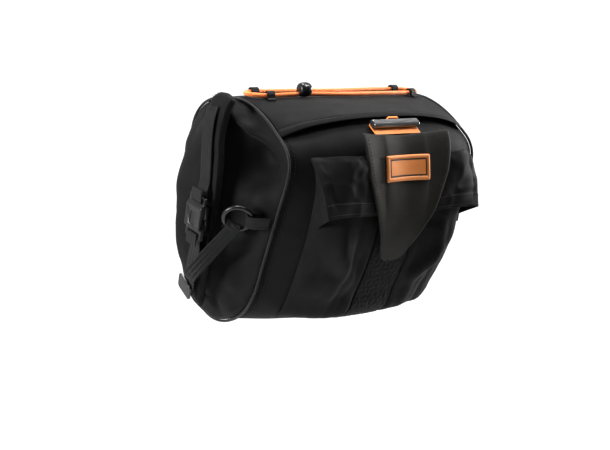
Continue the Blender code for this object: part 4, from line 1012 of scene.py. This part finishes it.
def build_buckle(side, suffix):
    centre, across, outward, along = mouth_axes(side, BUCKLE_AT)
    centre = centre + outward * (SHEET_GAP + ROLL_THICK + BUCKLE_LIFT)
    half, neck = BUCKLE_LENGTH / 2, BUCKLE_BAR + BUCKLE_SLOT
    body, thin, wide = BUCKLE_THICK / 2, PRONG_THICK / 2, BUCKLE_WIDTH / 2
    socket_end, rise, knee = half - neck - BUCKLE_BAR, 1.5 * neck, neck + 2 * GAP
    profile = mirrored([(-half, -thin), (-half + knee, -thin), (-half + rise, -body), (socket_end, -body)])
    flat, upright = (centre, along, across, outward), (centre, along, outward, across)
    socket = prism(f"socket_fine_{suffix}", profile, -wide, wide, upright, PLASTIC, 0.0011, 3)
    wall = 0.0026
    room, inner, back = thin + 2 * GAP, wide - wall, -half + rise + wall
    window = (socket_end - 0.013, socket_end - 0.004)
    cavity = mirrored([(back, inner), (window[0], inner), (window[0], 2 * wide), (window[1], 2 * wide),
                       (window[1], inner), (half, inner)])
    slot_wide = WEB_WIDTH / 2 + 0.0006
    slot = mirrored([(-half + BUCKLE_BAR, -slot_wide), (-half + neck, -slot_wide)])
    hollow = mirrored([(back + 0.004, -0.004), (socket_end - 0.004, -0.0055)])
    carve(socket, [prism("cutter", outline, low, high, flat, PLASTIC) for outline, low, high in
                   ((cavity, -room, room), (slot, -2 * body, 2 * body), (hollow, body - 0.0006, 2 * body))])
    dress(socket, "black_plastic", f"buckle_socket_{suffix}")
    arm_out, arm_in, guide = inner - 2 * GAP, inner - 0.0045, 0.0018
    base, reach = socket_end + GAP, back + 0.004
    prong = [(half, -wide), (half, wide), (base, wide), (base, arm_out), (window[1] - GAP, arm_out),
             (window[1] - GAP, wide - 2 * GAP), (window[0] + 0.003, wide - 0.0012),
             (window[0] + GAP, arm_out), (reach, arm_out - 0.003), (reach, arm_in - 0.001), (base, arm_in),
             (base, guide), (reach + 0.003, guide)]
    prong += [(a, -b) for a, b in reversed(prong[2:])]
    item = prism(f"prong_fine_{suffix}", prong, -thin, thin, flat, PLASTIC)
    carve(item, [prism("cutter", [(-a, b) for a, b in slot], -2 * body, 2 * body, flat, PLASTIC)])
    round_edges(item, 0.0005, 2, 50, False)
    dress(item, "black_plastic", f"buckle_prong_{suffix}")
    above = WEB_THICK / 2 + GAP
    turn, mid_slot, bar_end = thin + above, half - BUCKLE_BAR - BUCKLE_SLOT / 2, half + above
    for name, sign, start, stop in (("upper", -1, 0.10, 0.42), ("lower", 1, 0.97, 0.72)):
        path = [roll_outside(side, start + (stop - start) * k / 5, above) for k in range(6)]
        ahead = along * sign
        turns = ((bar_end, -turn, outward), (mid_slot + 0.0012, -turn, outward * 2 + ahead),
                 (mid_slot, -turn * 0.5, outward + ahead * 2), (mid_slot, turn * 0.5, ahead * 2 - outward),
                 (mid_slot + 0.0012, turn, ahead - outward * 2), (bar_end + 0.006, turn, -outward))
        path += [(centre + ahead * r + outward * h, face) for r, h, face in turns]
        item = ribbon(f"roll_web_{name}_{suffix}", path, WEB_WIDTH - 0.0008, WEB_THICK * 0.9, WEBBING)
        dress(item, "webbing", f"roll_strap_{name}_{suffix}")
        ends = [roll_outside(side, start - sign * 0.012 * k, above + WEB_THICK * 0.46)[0] for k in (1, 2)]
        width = across * (WEB_WIDTH / 2 - 0.0022)
        rows = [(np.array([p - width, p + width]), np.array([outward, outward])) for p in ends]
        sew(f"roll_web_stitches_{name}_{suffix}", "webbing", rows, DARK_THREAD, 0.0026, 0.0019)


def ring_loop(hook, pull, face):
    wrap = RING_WIRE / 2 + 2 * GAP + WEB_THICK / 2
    radius = (RING_INNER + RING_WIRE) / 2
    slack = radius - sqrt(radius ** 2 - (RING_WEB_WIDTH / 2) ** 2) + 3 * GAP
    far = hook + pull * slack
    path = [(hook - pull * wrap + face * wrap, face)]
    path += [(far + face * (wrap * cos(a)) + pull * (wrap * sin(a)), face * cos(a) + pull * sin(a))
             for a in (0.0, 0.8, 1.57, 2.35, 3.14)]
    return path + [(hook - face * wrap - pull * 0.007, -face)]


def build_ring(side, suffix):
    reach, depth, height = RING_PLACE
    centre = placed(side * (HALF_SEAM + reach * END_REACH), depth, height)
    seam = end_cloth(side, 0.06, 8.42) + np.array((side * 0.004, 0, 0))
    lift = 4 * GAP + 1.5 * WEB_THICK
    rear, rear_out = roll_outside(side, 0.95, lift)
    first, second = unit(centre - seam), unit(rear - centre)
    face = unit(np.cross(first, second))
    face = face if face[0] * side > 0 else -face
    third = np.cross(face, first)
    radius = (RING_INNER + RING_WIRE) / 2
    angle = np.linspace(0, 2 * pi, 73)[:-1]
    spokes = first * np.cos(angle)[:, None] + third * np.sin(angle)[:, None]
    item = sweep(f"ring_fine_{suffix}", centre + spokes * radius, spokes, np.broadcast_to(face, spokes.shape),
                 circle(RING_WIRE / 2, 20), PLASTIC, closed=True)
    dress(item, "black_plastic", f"ring_{suffix}")
    tab = [(seam, face)] + ring_loop(centre - first * radius, first, face)
    path = [(rear, rear_out), roll_outside(side, 0.885, lift, ROLL_WIDTH * 0.19)]
    corner, outward = roll_outside(side, 0.815, lift + 0.004, ROLL_WIDTH * 0.38)
    path.append((corner, unit(outward * 2 + mouth_axes(side, 0.815)[1])))
    path += ring_loop(centre + second * radius, -second, face)
    for name, route in (("ring_tab", tab), ("ring_strap", path)):
        item = ribbon(f"{name}_web_{suffix}", route, RING_WEB_WIDTH, WEB_THICK * 0.9, WEBBING)
        dress(item, "webbing", f"{name}_{suffix}")
    clip, forward, outward, down = mouth_axes(side, 0.93)
    clip = clip + outward * (SHEET_GAP + ROLL_THICK + lift + WEB_THICK / 2 + 2 * GAP)
    item = prism(f"clip_fine_{suffix}", rounded(CLIP_LENGTH, WEB_WIDTH + 0.006, 0.004), 0, 0.0022,
                 (clip, down, forward, outward), PLASTIC, 0.0007, 3)
    dress(item, "black_plastic", f"strap_clip_{suffix}")


# Top cord, back and straps on the bar

def cord_line():
    lift = TOP_THICK + CORD_DIAMETER / 2 + 2 * SHEET_GAP
    knots = np.array([on_barrel(x * HALF_SEAM, row, lift) for x, row in CORD_ROUTE])
    return spline(knots, np.linspace(0, len(knots) - 1, 361))


def frame_on(line, x_share, row):
    target = on_barrel(x_share * HALF_SEAM, row, TOP_THICK)
    k = int(np.argmin(np.linalg.norm(line[1:-1] - target, axis=1))) + 1
    along = unit(line[k + 1] - line[k - 1])
    out = barrel_out(x_share * HALF_SEAM, row)
    upward = square_to(out, along)
    return line[k], unit(np.cross(upward, along)), upward, along


def build_cord():
    line = cord_line()
    out = np.broadcast_to((0.0, 0, 1), line.shape)
    item = laid_sweep("shock_cord_fine", line, out, circle(CORD_DIAMETER / 2 * 0.98, 16), CORD)
    dress(item, "orange_cord", "shock_cord")
    inner, floor = CORD_DIAMETER / 2 + CORD_CLEARANCE, -(CORD_DIAMETER / 2 + SHEET_GAP - GAP)
    rim = inner + ANCHOR_THICK
    arcs = np.linspace(0.3, 2.84, 11)
    for name, (x_share, row) in CORD_LOOPS.items():
        origin, side_axis, upward, lengthwise = frame_on(line, x_share, row)
        outline = [(-LOOP_FOOT, floor), (-LOOP_FOOT, floor + ANCHOR_THICK / 2), (-rim, floor + ANCHOR_THICK)]
        outline += [(-rim * cos(a), rim * sin(a)) for a in arcs]
        outline += [(rim, floor + ANCHOR_THICK), (LOOP_FOOT, floor + ANCHOR_THICK / 2), (LOOP_FOOT, floor),
                    (inner, floor)]
        outline += [(inner * cos(a), inner * sin(a)) for a in arcs] + [(-inner, floor)]
        item = prism(f"cord_loop_web_{name}", outline, -ANCHOR_WIDTH / 2, ANCHOR_WIDTH / 2,
                     (origin, side_axis, upward, lengthwise), WEBBING, 0.0003, 1)
        dress(item, "webbing", f"cord_loop_{name}")
    start, stop = line[-1], line[0]
    axis = unit(start - stop)
    middle = (start + stop) / 2
    out = barrel_out(middle[0], CORD_ROUTE[0][1])
    upward = square_to(out, axis)
    spread = np.cross(upward, axis)
    radius = CORD_LOCK_DIAMETER / 2
    rise = radius - CORD_DIAMETER / 2 - SHEET_GAP + GAP
    length = np.linalg.norm(start - stop) - 5 * GAP
    shape = np.array([(-a, b) for a, b in LOCK_SHAPE] + [*LOCK_SHAPE[::-1]])
    centres = middle + upward * rise + axis * (length * shape[:, :1])
    sides, ups = (np.broadcast_to(v, centres.shape) for v in (spread, upward))
    item = sweep("cord_lock_fine", centres, sides, ups, circle(radius, 32), PLASTIC, scale=shape[:, 1],
                 angle=30)
    dress(item, "black_plastic", "cord_lock")


def build_back():
    top, foot = (barrel(0.0, row)[2] for row in PANEL_ROWS)
    low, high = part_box("back_panel")
    face_y = BACK_Y + SHEET_GAP
    centre = (0, face_y, (top + foot) / 2)
    panel = prism("back_panel_fine", rounded(high.x - low.x, top - foot, 0.012, 8), 0, BACK_PANEL_THICK,
                  (centre, (1, 0, 0), (0, 0, 1), (0, 1, 0)), NYLON, 0.0008, 3)
    dress(panel, "pack_cloth", "back_panel")
    edge = rounded(high.x - low.x - 0.012, top - foot - 0.012, 0.008, 8)
    edge = np.array(edge + edge[:1])
    sewn_y = np.full(len(edge), face_y + BACK_PANEL_THICK + 0.0001)
    line = np.stack((edge[:, 0], sewn_y, edge[:, 1] + centre[2]), -1)
    sew("back_stitches", "pack_cloth", [(line, np.broadcast_to((0.0, 1, 0), line.shape))])
    seat_y = face_y + BACK_PANEL_THICK + GAP
    slot_y = (seat_y - BAR_RADIUS - GAP) / 2
    for side, suffix in SIDES:
        x = side * BAR_STRAP_APART / 2
        tall, radius = SPACER_HEIGHT / 2, BAR_RADIUS + GAP
        half_y, half_x = BAR_STRAP_THICK / 2 + 0.0006, BAR_STRAP_WIDTH / 2 + 0.0006
        hug = radians(SPACER_HUG)
        arc = [(-radius * cos(a), radius * sin(a)) for a in np.linspace(hug, -hug, 25)]
        brow = slot_y + half_y + 0.002
        outline = [(seat_y, -tall), (seat_y, tall), (brow, tall)] + arc + [(brow, -tall)]
        axes = ((x, 0, 0), (0, 1, 0), (0, 0, 1), (1, 0, 0))
        wide = SPACER_WIDTH / 2
        block = prism(f"spacer_fine_{suffix}", outline, -wide, wide, axes, FOAM, 0.0008)
        slot = mirrored([(slot_y - half_y, -2 * tall), (slot_y + half_y, -2 * tall)])
        carve(block, [prism("cutter", slot, -half_x, half_x, axes, FOAM)])
        dress(block, "spacer_foam", f"spacer_{suffix}")
        radius, bend = BAR_RADIUS + GAP + BAR_STRAP_THICK / 2, 0.004
        tall = SPACER_HEIGHT / 2 + bend + GAP
        corner = [(slot_y + bend * (1 - sin(a)), tall - bend * (1 - cos(a)))
                  for a in np.linspace(pi / 2, 0, 4)]
        knots = [(y, -z) for y, z in corner][::-1] + corner
        knots += [(radius * sin(a), radius * cos(a)) for a in np.linspace(0.35, pi - 0.35, 11)]
        knots = np.array([(x, y, z) for y, z in knots])
        line = spline(knots, np.linspace(0, len(knots), len(knots) * 5 + 1)[:-1], closed=True)
        along = loop_directions(line)
        across = np.broadcast_to((1.0, 0, 0), line.shape)
        item = sweep(f"bar_web_{suffix}", line, across, np.cross(along, across),
                     ribbon_profile(BAR_STRAP_WIDTH, BAR_STRAP_THICK * 0.9), WEBBING, closed=True)
        dress(item, "webbing", f"bar_strap_{suffix}")


def build_camera():
    camera = bpy.data.cameras.new("view")
    camera.sensor_fit, camera.sensor_width, camera.clip_end = "HORIZONTAL", SENSOR, 20.0
    camera.lens = FOCAL_PIXELS * SENSOR / PICTURE_WIDTH
    item = bpy.data.objects.new("view", camera)
    item.matrix_world = Matrix.Translation(CAMERA_PLACE) @ Matrix(CAMERA_AXES).transposed().to_4x4()
    bpy.context.scene.collection.objects.link(item)
    bpy.context.scene.camera = item


def area_light(name, place, size, power):
    light = bpy.data.lights.new(name, "AREA")
    light.shape, light.size, light.energy = "DISK", size, power
    item = bpy.data.objects.new(name, light)
    direction = Vector(LIGHT_TARGET) - Vector(place)
    item.matrix_world = Matrix.Translation(place) @ direction.to_track_quat("-Z", "Y").to_matrix().to_4x4()
    bpy.context.scene.collection.objects.link(item)


def build_studio():
    world = bpy.data.worlds.new("studio")
    world.use_nodes = True
    tree = world.node_tree
    coords = node(tree, "ShaderNodeTexCoord")
    split = node(tree, "ShaderNodeSeparateXYZ", {"Vector": coords.outputs["Generated"]})
    behind = plus(tree, times(tree, split.outputs["Y"], 0.8), times(tree, split.outputs["X"], 0.3))
    ramp = node(tree, "ShaderNodeMapRange",
                {"Value": behind, "From Min": -0.4, "From Max": 0.50, "To Min": 0.20, "To Max": 1.15})
    seen = node(tree, "ShaderNodeLightPath")
    strength = math_node(tree, "MAXIMUM", ramp.outputs["Result"], seen.outputs["Is Camera Ray"])
    tree.links.new(strength, tree.nodes["Background"].inputs["Strength"])
    tree.nodes["Background"].inputs["Color"].default_value = (1, 1, 1, 1)
    bpy.context.scene.world = world
    floor_mesh = bpy.data.meshes.new("floor")
    floor_mesh.from_pydata([(x, y, FLOOR_Z) for x, y in circle(FLOOR_RADIUS, 64)], [], [tuple(range(64))])
    paint, tree, shader = nodes_of("floor_paint", (0.90, 0.90, 0.90), 0.9)
    tint(tree, shader, (0.89, 0.89, 0.89), (0.91, 0.91, 0.91), 3.0)
    new_object("floor", floor_mesh, paint, smooth=False)
    bpy.context.scene.view_settings.view_transform = "Standard"
    bpy.context.scene.view_settings.gamma = 0.80
    for light in LIGHTS:
        area_light(*light)


def build_bag():
    build_body()
    build_top()
    build_tongue()
    build_strip()
    build_patch()
    build_clasp()
    for side, suffix in SIDES:
        build_piping(side, suffix)
        build_pouch(side, suffix)
        build_cuff(side, suffix)
        build_roll(side, suffix)
        build_buckle(side, suffix)
        build_ring(side, suffix)
    build_cord()
    build_back()


build_camera()
build_studio()
build_bag()
